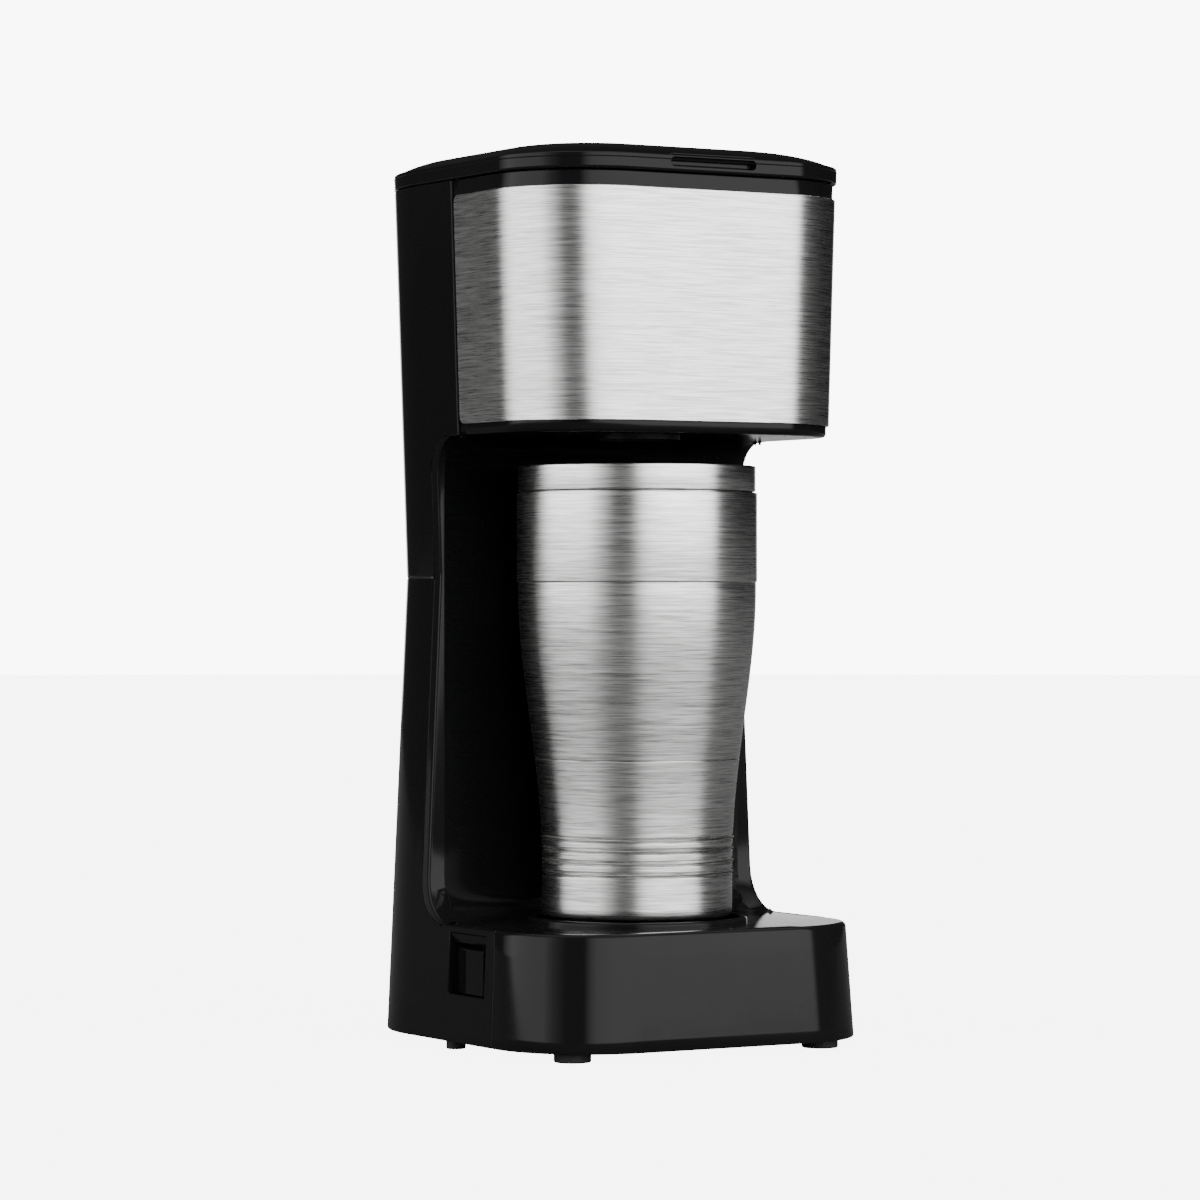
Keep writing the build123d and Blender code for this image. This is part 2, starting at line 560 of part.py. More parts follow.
with BuildPart() as tank_hose:
    add(hose_straight((-HEATER_HALF, INLET_Y), VALVE_HIGH - 5, TANK_LOW - 0.1))
save(tank_hose, "tank_hose")

with BuildPart() as check_valve:
    add(upright([(-HEATER_HALF, INLET_Y)], 6.5, VALVE_LOW + 5, VALVE_HIGH - 5))
    add(upright([(-HEATER_HALF, INLET_Y)], 4.4, VALVE_LOW + 8, VALVE_HIGH - 8), mode=Mode.SUBTRACT)
    add(upright([(-HEATER_HALF, INLET_Y)], HOSE_BORE - 0.8, VALVE_LOW, VALVE_HIGH), mode=Mode.SUBTRACT)
save(check_valve, "check_valve")

with BuildPart() as check_ball:
    with Locations((-HEATER_HALF, INLET_Y, VALVE_LOW + 8.05 + 3.6)):
        Sphere(3.6)
save(check_ball, "check_ball")

with BuildPart() as heater_body:
    with BuildLine() as heater_line:
        Line((HEATER_HALF, HEATER_LEG_Y, HEATER_Z), (HEATER_HALF, HEATER_BEND_Y, HEATER_Z))
        ThreePointArc((HEATER_HALF, HEATER_BEND_Y, HEATER_Z), (0, HEATER_BEND_Y - HEATER_HALF, HEATER_Z),
                      (-HEATER_HALF, HEATER_BEND_Y, HEATER_Z))
        Line((-HEATER_HALF, HEATER_BEND_Y, HEATER_Z), (-HEATER_HALF, HEATER_LEG_Y, HEATER_Z))
    with BuildSketch(Plane((HEATER_HALF, HEATER_LEG_Y, HEATER_Z), x_dir=(1, 0, 0), z_dir=(0, -1, 0))):
        with Locations((0, 0)):
            Circle(5.6)
        with Locations((0, -8.6)):
            Circle(4.6)
        with Locations((0, -4.5)):
            Rectangle(7, 6)
        Circle(HOSE_BORE + 0.6, mode=Mode.SUBTRACT)
        with Locations((0, -8.6)):
            Circle(3.2, mode=Mode.SUBTRACT)
    sweep()
save(heater_body, "heater_body")

with BuildPart() as heating_element:
    with BuildLine() as element_line:
        element_z = HEATER_Z - 8.6
        Line((HEATER_HALF, HEATER_LEG_Y + 9, element_z), (HEATER_HALF, HEATER_BEND_Y, element_z))
        ThreePointArc((HEATER_HALF, HEATER_BEND_Y, element_z), (0, HEATER_BEND_Y - HEATER_HALF, element_z),
                      (-HEATER_HALF, HEATER_BEND_Y, element_z))
        Line((-HEATER_HALF, HEATER_BEND_Y, element_z), (-HEATER_HALF, HEATER_LEG_Y + 9, element_z))
    with BuildSketch(Plane((HEATER_HALF, HEATER_LEG_Y + 9, element_z), x_dir=(1, 0, 0), z_dir=(0, -1, 0))):
        Circle(3.15)
    sweep()
save(heating_element, "heating_element")

with BuildPart() as heater_nipples:
    for side in (-1, 1):
        add(along_y((side * HEATER_HALF, HEATER_Z), HOSE_BORE, HEATER_LEG_Y, HEATER_LEG_Y + 9.5))
        add(along_y((side * HEATER_HALF, HEATER_Z), 5.2, HEATER_LEG_Y, HEATER_LEG_Y + 3))
    for side in (-1, 1):
        add(along_y((side * HEATER_HALF, HEATER_Z), HOSE_BORE - 0.8, 0, HEATER_LEG_Y + 20), mode=Mode.SUBTRACT)
save(heater_nipples, "heater_nipples")

with BuildPart() as heater_bracket:
    with BuildSketch(Plane.XY.offset(BRACKET_LOW)):
        with Locations((0, -4)):
            SlotOverall(72, 12)
        with Locations(*HEATER_SCREWS):
            Circle(SCREW_RADIUS, mode=Mode.SUBTRACT)
    extrude(amount=BRACKET_THICKNESS)
save(heater_bracket, "heater_bracket")

with BuildPart() as heater_screws:
    bracket_top = BRACKET_LOW + BRACKET_THICKNESS
    add(upright(HEATER_SCREWS, SCREW_RADIUS, 6.4, bracket_top))
    add(upright(HEATER_SCREWS, SCREW_HEAD_RADIUS, bracket_top, bracket_top + 2))
save(heater_screws, "heater_screws")

with BuildPart() as thermostat:
    add(along_y((0, HEATER_Z), 7.8, -32.9, -27))
    add(along_y((0, HEATER_Z), 5.2, -27, -23))
    add(box_between((-9, -31, HEATER_Z - 1), (-7, -22, HEATER_Z + 4)))
    add(box_between((7, -31, HEATER_Z - 1), (9, -22, HEATER_Z + 4)))
save(thermostat, "thermostat")

with BuildPart() as thermal_fuses:
    for side in (-1, 1):
        add(along_y((side * 21.8, HEATER_Z), 2.2, -6, 12))
save(thermal_fuses, "thermal_fuses")

with BuildPart() as terminal_block:
    add(box_between((-17, 44, FOOT_HEIGHT + BASE_THICKNESS), (17, 58, 18)))
    add(upright([(-11, 51), (0, 51), (11, 51)], 2.6, 12, 20), mode=Mode.SUBTRACT)
save(terminal_block, "terminal_block")

with BuildPart() as lead_wires:
    lower, upper = (SWITCH_Z + height for height in TERMINALS)
    add(hose([(-11, 43.9, 12), (-11, 34, 12), (-11, 34, upper), (-11, SWITCH_Y, upper), (-37.9, SWITCH_Y, upper)],
             4, WIRE_RADIUS, 0))
    add(hose([(-37.9, SWITCH_Y, lower), (-8, SWITCH_Y, lower), (-8, -23.5, lower), (-8, -23.5, 28.05)],
             2.0, WIRE_RADIUS, 0))
    add(hose([(11, 43.9, 12), (11, 34, 12), (11, 34, 36), (8, -14, 36), (8, -14, 26), (8, -21.9, 26)],
             3, WIRE_RADIUS, 0))
save(lead_wires, "lead_wires")

with BuildPart() as cord_gland:
    add(along_y((0, GLAND_Z), GLAND_FLANGE, 76.9, 78.4))
    add(along_y((0, GLAND_Z), GLAND_RADIUS - 0.05, 70, 77))
    add(along_y((0, GLAND_Z), GLAND_FLANGE - 1, 70, 73.3))
    add(along_y((0, GLAND_Z), 3.2, 60, 90), mode=Mode.SUBTRACT)
save(cord_gland, "cord_gland")

# === Switch ==================================================================================

with BuildPart() as switch_body:
    can = SWITCH_CAN_HALF
    add(box_between((RECESS_FLOOR_X, SWITCH_Y - can, SWITCH_Z - 7.5), (-46, SWITCH_Y + can, SWITCH_Z + 7.5)))
    add(box_between((-80, SWITCH_Y - 8, SWITCH_Z - 6.5), (-59, SWITCH_Y + 8, SWITCH_Z + 6.5)), mode=Mode.SUBTRACT)
    for height in TERMINALS:
        low, high = SWITCH_Z + height - 0.4, SWITCH_Z + height + 0.4
        add(box_between((-46, SWITCH_Y - 2.4, low), (-38, SWITCH_Y + 2.4, high)))
save(switch_body, "switch_body")

with BuildPart() as power_rocker:
    with BuildSketch(Plane.XY.offset(SWITCH_Z - ROCKER_HEIGHT / 2)):
        with Locations(Location((SWITCH_AXIS_X, SWITCH_Y), -ROCKER_TILT)):
            Polygon((-ROCKER_RIDGE, 0), (-ROCKER_END, ROCKER_HALF), (-0.6, ROCKER_HALF - 0.2), (0.6, 5),
                    (0.6, -5), (-0.6, 0.2 - ROCKER_HALF), (-ROCKER_END, -ROCKER_HALF), align=None)
    extrude(amount=ROCKER_HEIGHT)
    with BuildSketch(Plane.XY.offset(SWITCH_Z - 6)):
        with Locations((SWITCH_AXIS_X, SWITCH_Y)):
            Circle(3.6)
    extrude(amount=12)
save(power_rocker, "power_rocker")

# === Feet, screws and mug seat ===============================================================

for name, places, radius in (("feet_front", FRONT_FEET, FOOT_RADIUS), ("feet_rear", REAR_FEET, FOOT_RADIUS),
                             ("feet_side", SIDE_FEET, 3.5)):
    with BuildPart() as feet:
        add(upright(places, radius, 0, FOOT_HEIGHT))
        bottom = feet.edges().filter_by(GeomType.CIRCLE).group_by(Axis.Z)[0]
        fillet(bottom, 0.8)
    save(feet, name)

with BuildPart() as base_screws:
    add(upright(BASE_SCREWS, SCREW_RADIUS, 4.8, 17))
    add(upright(BASE_SCREWS, SCREW_HEAD_RADIUS, 3.2, 4.8))
save(base_screws, "base_screws")

with BuildPart() as mug_seat:
    add(cone_ring([(39.5, DECK_TOP), (39.5, DECK_TOP + 1.2), (38.5, DECK_TOP + 1.8)], 3.0))
save(mug_seat, "mug_seat")

# === Travel mug ==============================================================================


def mug_profile(offset):
    """Right-hand outline of the mug wall: straight stem, S-curve shoulder, stepped collar."""
    with BuildLine() as outline:
        Line((MUG_STEM_RADIUS - offset, MUG_BOTTOM + offset), (MUG_STEM_RADIUS - offset, MUG_STEM_TOP))
        Spline((MUG_STEM_RADIUS - offset, MUG_STEM_TOP), (MUG_MIDDLE_RADIUS - offset, MUG_MIDDLE_Z),
               (MUG_SHOULDER_RADIUS - offset, MUG_SHOULDER_Z), tangents=((0, 1), (0, 1)))
        Line((MUG_SHOULDER_RADIUS - offset, MUG_SHOULDER_Z), (MUG_SHOULDER_RADIUS - offset, MUG_COLLAR_HIGH))
        Line((MUG_SHOULDER_RADIUS - offset, MUG_COLLAR_HIGH), (0, MUG_COLLAR_HIGH))
        Line((0, MUG_COLLAR_HIGH), (0, MUG_BOTTOM + offset))
        Line((0, MUG_BOTTOM + offset), (MUG_STEM_RADIUS - offset, MUG_BOTTOM + offset))
    return outline.line


def mug_solid(offset):
    """The mug turned about its own axis, with its outline moved inwards by offset."""
    with BuildPart() as turned:
        with BuildSketch(Plane.XZ.offset(-MUG_Y)):
            add(mug_profile(offset))
            make_face()
        revolve(axis=Axis((0, MUG_Y, 0), (0, 0, 1)))
    return turned.part


with BuildPart() as mug_shell:
    add(mug_solid(0))
    add(mug_solid(MUG_WALL), mode=Mode.SUBTRACT)
    add(upright([(0, MUG_Y)], MUG_SHOULDER_RADIUS - MUG_WALL, MUG_SHOULDER_Z, MUG_TOP), mode=Mode.SUBTRACT)
save(mug_shell, "mug_shell")

with BuildPart() as mug_liner:
    add(mug_solid(MUG_LINER_GAP))
    add(mug_solid(MUG_LINER_GAP + MUG_WALL), mode=Mode.SUBTRACT)
    inner = MUG_SHOULDER_RADIUS - MUG_LINER_GAP - MUG_WALL
    add(upright([(0, MUG_Y)], inner, MUG_SHOULDER_Z, MUG_TOP), mode=Mode.SUBTRACT)
    add(cone_ring([(MUG_SHOULDER_RADIUS - MUG_WALL - 0.05, MUG_COLLAR_HIGH - 1.2),
                   (MUG_SHOULDER_RADIUS - MUG_WALL - 0.05, MUG_COLLAR_HIGH)], MUG_LINER_GAP))
save(mug_liner, "mug_liner")

with BuildPart() as mug_collar:
    add(cone_ring([(MUG_COLLAR_RADIUS, MUG_COLLAR_LOW), (MUG_COLLAR_RADIUS, MUG_COLLAR_HIGH)],
                  MUG_COLLAR_RADIUS - MUG_SHOULDER_RADIUS))
save(mug_collar, "mug_collar")

with BuildPart() as mug_base_pad:
    add(upright([(0, MUG_Y)], MUG_PAD_RADIUS, MUG_BOTTOM - MUG_PAD_THICKNESS, MUG_BOTTOM))
save(mug_base_pad, "mug_base_pad")

with BuildPart() as mug_lid:
    add(cone_ring([(MUG_RING_RADIUS - 1.05, MUG_COLLAR_HIGH), (MUG_RING_RADIUS - 1.05, MUG_TOP - 0.6)], 1.6))
    add(upright([(0, MUG_Y)], MUG_RING_RADIUS - 1.2, MUG_COLLAR_HIGH, LID_FLOOR))
    add(cone_ring([(36.6, LID_PLUG_LOW), (36.6, MUG_COLLAR_HIGH)], 2.0))
    with Locations((0, MUG_Y, LID_FLOOR)):
        Cone(8, 14, 4, mode=Mode.SUBTRACT)
    add(upright([(0, MUG_Y)], 8, 180, 210), mode=Mode.SUBTRACT)
    add(box_between((-6, MUG_Y - 34, 180), (6, MUG_Y - 27, 210)), mode=Mode.SUBTRACT)
save(mug_lid, "mug_lid")

with BuildPart() as mug_lid_ring:
    add(cone_ring([(MUG_RING_RADIUS, MUG_COLLAR_HIGH), (MUG_RING_RADIUS, MUG_TOP)], 1.0))
save(mug_lid_ring, "mug_lid_ring")

with BuildPart() as mug_lid_seal:
    add(cone_ring([(SEAL_RADIUS, LID_PLUG_LOW + 1), (SEAL_RADIUS, LID_PLUG_LOW + 4)], SEAL_RADIUS - 36.65))
save(mug_lid_seal, "mug_lid_seal")

with BuildPart() as mug_slider:
    add(box_between((-8, MUG_Y - 35, LID_FLOOR + 0.3), (8, MUG_Y - 25.5, LID_FLOOR + 2.0)))
    add(box_between((-6, MUG_Y - 28, LID_FLOOR + 2.0), (6, MUG_Y - 26.4, LID_FLOOR + 3.6)))
save(mug_slider, "mug_slider")
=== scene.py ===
import math

import bmesh
import bpy
import numpy as np
from bpy.props import FloatProperty, FloatVectorProperty, PointerProperty
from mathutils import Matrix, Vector


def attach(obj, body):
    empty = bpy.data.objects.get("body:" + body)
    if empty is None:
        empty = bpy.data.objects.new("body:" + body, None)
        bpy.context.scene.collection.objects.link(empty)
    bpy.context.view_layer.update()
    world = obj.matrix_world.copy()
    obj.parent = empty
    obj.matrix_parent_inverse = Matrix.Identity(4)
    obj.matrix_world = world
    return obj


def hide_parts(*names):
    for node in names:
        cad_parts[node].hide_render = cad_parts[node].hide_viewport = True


bl_info = {
    "name": "Drip coffee maker looks",
    "version": (1, 0, 0),
    "blender": (4, 5, 0),
    "location": "3D Viewport > Sidebar > Coffee maker",
    "description": "Finished surfaces of a single-serve drip coffee maker, built around its CAD frame",
    "category": "Object",
}

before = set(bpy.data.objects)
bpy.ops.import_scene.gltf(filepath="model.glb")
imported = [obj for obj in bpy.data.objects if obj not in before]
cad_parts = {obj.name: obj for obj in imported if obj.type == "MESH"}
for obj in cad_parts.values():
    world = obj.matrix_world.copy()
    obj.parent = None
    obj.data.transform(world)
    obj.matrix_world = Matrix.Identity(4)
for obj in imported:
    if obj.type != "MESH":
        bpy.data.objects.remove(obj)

# Every length below is in millimetres, in the CAD frame: +Z up, the front faces -Y.
MM = 0.001

FOOT_TOP = 3.6
DECK_TOP = 44.5
WAIST_Z = 167.4
CEILING = 217.5
HEAD_TOP = 307.8
SEAM = 0.2

BASE_SEAM_Y = -38.3
HEAD_SEAM_Y = -5.0
LIP_Y = 15.3
LIP_LOW_RADIUS = 16.0
LIP_HIGH_RADIUS = 12.0
BAY_EDGE_Y = 10.5
BAY_HALF = 62.0
BAY_BACK_Y = 30.0
BAY_SAG = BAY_BACK_Y - BAY_EDGE_Y
BAY_RADIUS = (BAY_HALF**2 + BAY_SAG**2) / (2 * BAY_SAG)
FLOOR_FILLET = 14.0
CEILING_FILLET = 11.0
STRIP_WIDTH = 4.6
STRIP_FILLET = 0.9

FRONT_CORNER = 36.0
REAR_CORNER = 55.0
HEAD_STEP = 1.0
HEAD_FILLET = 1.3
HEAD_FRONT_Y = -70.4
PANEL_LOW = 221.5
PANEL_HIGH = 302.4
PANEL_EDGE_Y = -6.3
PANEL_CORNER = 3.0

LID_LOW = 308.1
LID_RIM = 313.7
LID_TOP = 320.0
LID_HALF = 67.9
LID_FRONT_Y = -72.0
LID_REAR_Y = 78.6
CROWN_POWER = 6
GRIP_HALF = 17.5
GRIP_LOW = 309.7
GRIP_HIGH = 313.2
GRIP_DEPTH = 3.0
HINGE_Y = 75.9
HINGE_Z = 305.2
KNUCKLE_RADIUS = 3.2
HINGE_HALF = 14.0
LID_KNUCKLE_HALF = 8.0

RECESS_FRONT_Y = -32.2
RECESS_REAR_Y = -6.2
RECESS_LOW = 20.6
RECESS_SHOULDER = 38.4
RECESS_HIGH = 42.0
RECESS_FLOOR = 62.2
RECESS_LEDGE = 67.2
ROCKER_AXIS = (-64.0, -19.2, 28.9)
ROCKER_TILT = -8.0

GLAND_Z = 20.0
GLAND_OPENING = 8.1

MUG_Y = -20.0


# --- Outlines ------------------------------------------------------------------------------

def half_width(z):
    """Half width of the housing at height z: straight from foot to waist, then straight up to the rim."""
    return np.interp(z, (FOOT_TOP, WAIST_Z, HEAD_TOP), (70.6, 63.25, 67.85))


def rear_y(z):
    """Depth of the housing's rear face at height z, in the same two straight runs."""
    return np.interp(z, (FOOT_TOP, WAIST_Z, HEAD_TOP), (79.1, 77.6, 78.4))


def front_y(z):
    """Depth of the base's front face at height z."""
    return np.interp(z, (FOOT_TOP, DECK_TOP), (-79.1, -76.5))


def corner_path(side_y, half, end_y, radius, sides, turns, flats):
    """Left half of a rounded outline, one row per height: a straight side at x = -half from side_y,
    a quarter arc of the given radius, then a flat at end_y that runs in to the centreline.
    sides and flats are fractions from 0 to 1, turns are angles from 0 to a quarter turn."""
    rows = np.broadcast_arrays(*np.atleast_1d(side_y, half, end_y, radius))
    side_y, half, end_y, radius = (row[:, None].astype(float) for row in rows)
    way = np.sign(end_y - side_y)
    arc_y = end_y - way * radius
    x = [-half + 0 * sides, -half + radius * (1 - np.cos(turns)), (radius - half) * (1 - flats)]
    y = [side_y + (arc_y - side_y) * sides, arc_y + way * radius * np.sin(turns), end_y + 0 * flats]
    return np.concatenate(x, axis=1), np.concatenate(y, axis=1)


def mirrored(x, y):
    """Both halves of an outline: the left half, then its mirror image without the shared middle column."""
    return np.concatenate([x, -x[:, -2::-1]], axis=1), np.concatenate([y, y[:, -2::-1]], axis=1)


def grid_faces(rows, cols, keep=None, wrap=False):
    """Four-cornered faces of a grid of points stored row by row. keep is a mask over the faces."""
    spans = cols if wrap else cols - 1
    r, c = np.meshgrid(np.arange(rows - 1), np.arange(spans), indexing="ij")
    after = (c + 1) % cols
    faces = np.stack([r * cols + c, r * cols + after, (r + 1) * cols + after, (r + 1) * cols + c], axis=-1)
    return faces.reshape(-1, 4) if keep is None else faces[keep]


def sheet(x, y, z, keep=None, wrap=False):
    """A patch (points, faces) from three arrays of the same shape, rows by columns."""
    x, y, z = np.broadcast_arrays(x, y, z)
    points = np.stack([x, y, z], axis=-1).reshape(-1, 3)
    return points, grid_faces(*x.shape, keep, wrap)


def soften(corners, radius, steps=4):
    """A profile with its inner corners rounded: each corner gives way to a curve that starts and ends
    up to radius away along its two sides and follows the quadratic blend of the three points."""
    corners = np.asarray(corners, float)
    made = [corners[0]]
    for before, corner, after in zip(corners[:-2], corners[1:-1], corners[2:]):
        ways = [end - corner for end in (before, after)]
        spans = [np.linalg.norm(way) for way in ways]
        reach = min(radius, 0.45 * min(spans))
        first, last = (corner + way / span * reach for way, span in zip(ways, spans))
        t = np.linspace(0, 1, steps + 1)[:, None]
        made.extend((1 - t)**2 * first + 2 * t * (1 - t) * corner + t**2 * last)
    made.append(corners[-1])
    return np.array(made)


def turned(profile, centre=(0.0, MUG_Y), count=128):
    """A patch turned about the upright axis through centre, from an array of (radius, height) points."""
    profile = np.asarray(profile, float)
    angle = np.arange(count) * (2 * math.pi / count)
    x = centre[0] + profile[:, :1] * np.sin(angle)
    y = centre[1] - profile[:, :1] * np.cos(angle)
    return sheet(x, y, np.broadcast_to(profile[:, 1:], x.shape), wrap=True)


def prism(outline, start, end, axis="z"):
    """A closed patch: a flat outline carried from start to end along the given axis."""
    outline = np.asarray(outline, float)
    count = len(outline)
    rings = []
    for level in (start, end):
        fill = np.full(count, float(level))
        order = {"x": (fill, outline[:, 0], outline[:, 1]), "y": (outline[:, 0], fill, outline[:, 1]),
                 "z": (outline[:, 0], outline[:, 1], fill)}[axis]
        rings.append(np.stack(order, axis=-1))
    middle = [ring.mean(axis=0) for ring in rings]
    points = np.concatenate([*rings, np.array(middle)])
    here = np.arange(count)
    after = (here + 1) % count
    sides = np.stack([here, after, after + count, here + count], axis=-1)
    low = np.stack([here, after, np.full(count, 2 * count)], axis=-1)
    high = np.stack([here + count, after + count, np.full(count, 2 * count + 1)], axis=-1)
    return points, [*sides.tolist(), *low.tolist(), *high.tolist()]


# --- Meshes --------------------------------------------------------------------------------

def make_piece(name, patches, material, body, nodes=(), facing=None,
               sharp=32.0, wall=0.0, edge=0.0, segments=3):
    """Joins patches into one smooth mesh object that rides on a body.
    facing is a point on the surface and the direction it must face, for sheets that aren't closed."""
    points = np.concatenate([patch[0] for patch in patches]) * MM
    starts = np.cumsum([0, *(len(patch[0]) for patch in patches)])
    faces = [[corner + int(start) for corner in face]
             for patch, start in zip(patches, starts)
             for face in np.asarray(patch[1], dtype=object).tolist()]
    mesh = bpy.data.meshes.new(name)
    mesh.from_pydata(points.tolist(), [], faces)
    work = bmesh.new()
    work.from_mesh(mesh)
    bmesh.ops.remove_doubles(work, verts=work.verts, dist=2e-6)
    bmesh.ops.dissolve_degenerate(work, edges=work.edges, dist=1e-6)
    bmesh.ops.recalc_face_normals(work, faces=work.faces)
    if facing:
        point = Vector(facing[0]) * MM
        nearest = min(work.faces, key=lambda face: (face.calc_center_median() - point).length)
        if nearest.normal.dot(Vector(facing[1])) < 0:
            bmesh.ops.reverse_faces(work, faces=work.faces)
    work.to_mesh(mesh)
    work.free()
    mesh.shade_smooth()
    mesh.set_sharp_from_angle(angle=math.radians(sharp))
    mesh.materials.append(material)
    piece = bpy.data.objects.new(name, mesh)
    bpy.context.scene.collection.objects.link(piece)
    if wall:
        solid = piece.modifiers.new("Wall", "SOLIDIFY")
        solid.thickness = wall * MM
        solid.offset = -1.0
    if edge:
        rounding = piece.modifiers.new("Edges", "BEVEL")
        rounding.width = edge * MM
        rounding.segments = segments
        rounding.limit_method = "ANGLE"
        rounding.angle_limit = math.radians(38)
        rounding.use_clamp_overlap = False
        rounding.harden_normals = True
    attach(piece, body)
    if nodes:
        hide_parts(*nodes)
    return piece


# --- Materials -----------------------------------------------------------------------------

def add_node(tree, kind, inputs=None, **settings):
    """Adds a node. An input is either another node's socket, which is linked, or a plain value."""
    made = tree.nodes.new(kind)
    for key, value in settings.items():
        setattr(made, key, value)
    for key, value in (inputs or {}).items():
        if isinstance(value, bpy.types.NodeSocket):
            tree.links.new(value, made.inputs[key])
        else:
            made.inputs[key].default_value = value
    return made


def new_group(name, inputs, outputs):
    """An empty node group with float inputs {name: default} and outputs, and its two end nodes."""
    tree = bpy.data.node_groups.new(name, "ShaderNodeTree")
    for key, value in inputs.items():
        tree.interface.new_socket(name=key, in_out="INPUT", socket_type="NodeSocketFloat").default_value = value
    for key in outputs:
        tree.interface.new_socket(name=key, in_out="OUTPUT", socket_type="NodeSocketFloat")
    return tree, tree.nodes.new("NodeGroupInput"), tree.nodes.new("NodeGroupOutput")


def stretched_noise(tree, scale, axes, detail=3.0, rough=0.55):
    """Noise over object coordinates, its grain stretched by dividing the coordinates by axes."""
    coords = add_node(tree, "ShaderNodeTexCoord")
    spread = add_node(tree, "ShaderNodeMapping", {"Vector": coords.outputs["Object"], "Scale": axes})
    noise = {"Vector": spread.outputs["Vector"], "Scale": scale, "Detail": detail, "Roughness": rough}
    return add_node(tree, "ShaderNodeTexNoise", noise).outputs["Fac"]


def remap(tree, value, low, high, new_low, new_high):
    """Carries a value from one range to another and holds it at the ends."""
    ranges = {"Value": value, "From Min": low, "From Max": high, "To Min": new_low, "To Max": new_high}
    return add_node(tree, "ShaderNodeMapRange", ranges).outputs["Result"]


def moulded_group():
    """Moulded plastic: soft handling smudges, fine pores and a slight waviness of the mould."""
    if "Moulded surface" in bpy.data.node_groups:
        return bpy.data.node_groups["Moulded surface"]
    tree, start, end = new_group("Moulded surface", {"Smooth": 0.2, "Rough": 0.3}, ("Roughness", "Height", "Dust"))
    cloud = stretched_noise(tree, 9.0, (1.0, 1.0, 0.6), 4.0)
    fine = stretched_noise(tree, 160.0, (1.0, 1.0, 1.0), 2.0)
    pores = stretched_noise(tree, 1400.0, (1.0, 1.0, 1.0), 2.0)
    smudge = remap(tree, cloud, 0.42, 0.68, 0.0, 1.0)
    tinted = add_node(tree, "ShaderNodeMix", {0: smudge, 2: start.outputs["Smooth"], 3: start.outputs["Rough"]})
    speckle = add_node(tree, "ShaderNodeMath", {0: fine, 1: 0.04}, operation="MULTIPLY")
    rough = add_node(tree, "ShaderNodeMath", {0: tinted.outputs[0], 1: speckle.outputs[0]}, operation="ADD")
    height = add_node(tree, "ShaderNodeMath", {0: pores, 1: 0.5, 2: fine}, operation="MULTIPLY_ADD")
    tree.links.new(rough.outputs[0], end.inputs["Roughness"])
    tree.links.new(height.outputs[0], end.inputs["Height"])
    tree.links.new(remap(tree, cloud, 0.5, 0.8, 0.0, 1.0), end.inputs["Dust"])
    return tree


def brushed_group():
    """Sheet steel brushed around the object: long level scratches of three widths."""
    if "Brushed lines" in bpy.data.node_groups:
        return bpy.data.node_groups["Brushed lines"]
    tree, start, end = new_group("Brushed lines", {"Smooth": 0.24, "Rough": 0.36}, ("Roughness", "Height", "Tone"))
    broad = stretched_noise(tree, 1.0, (14.0, 14.0, 520.0), 2.0)
    medium = stretched_noise(tree, 1.0, (45.0, 45.0, 2000.0), 3.0, 0.6)
    hair = stretched_noise(tree, 1.0, (90.0, 90.0, 5600.0), 2.0, 0.5)
    mixed = add_node(tree, "ShaderNodeMath", {0: broad, 1: 0.12, 2: medium}, operation="MULTIPLY_ADD")
    total = add_node(tree, "ShaderNodeMath", {0: hair, 1: 0.8, 2: mixed.outputs[0]}, operation="MULTIPLY_ADD")
    lines = remap(tree, total.outputs[0], 0.78, 1.14, 0.0, 1.0)
    rough = add_node(tree, "ShaderNodeMix", {0: lines, 2: start.outputs["Smooth"], 3: start.outputs["Rough"]})
    tree.links.new(rough.outputs[0], end.inputs["Roughness"])
    tree.links.new(lines, end.inputs["Height"])
    tree.links.new(lines, end.inputs["Tone"])
    return tree


def plain_material(name):
    """A material holding one Principled shader, and that shader."""
    material = bpy.data.materials.new(name)
    material.use_nodes = True
    return material, material.node_tree, material.node_tree.nodes["Principled BSDF"]


def plastic(name, colour, smooth, rough, specular=0.5, bump=0.02, dust=0.25, coat=0.0):
    """Moulded plastic with smudges in the gloss and a trace of dust in the colour."""
    if name in bpy.data.materials:
        return bpy.data.materials[name]
    material, tree, shader = plain_material(name)
    surface = add_node(tree, "ShaderNodeGroup", node_tree=moulded_group())
    surface.inputs["Smooth"].default_value = smooth
    surface.inputs["Rough"].default_value = rough
    pale = [channel + dust * 0.02 for channel in colour]
    tint = {"Factor": surface.outputs["Dust"], 6: (*colour, 1.0), 7: (*pale, 1.0)}
    mixed = add_node(tree, "ShaderNodeMix", data_type="RGBA")
    tree.links.new(tint["Factor"], mixed.inputs["Factor"])
    mixed.inputs[6].default_value = tint[6]
    mixed.inputs[7].default_value = tint[7]
    grain = {"Height": surface.outputs["Height"], "Strength": bump, "Distance": 0.0004}
    relief = add_node(tree, "ShaderNodeBump", grain)
    tree.links.new(mixed.outputs[2], shader.inputs["Base Color"])
    tree.links.new(surface.outputs["Roughness"], shader.inputs["Roughness"])
    tree.links.new(relief.outputs["Normal"], shader.inputs["Normal"])
    shader.inputs["Specular IOR Level"].default_value = specular
    shader.inputs["Coat Weight"].default_value = coat
    return material


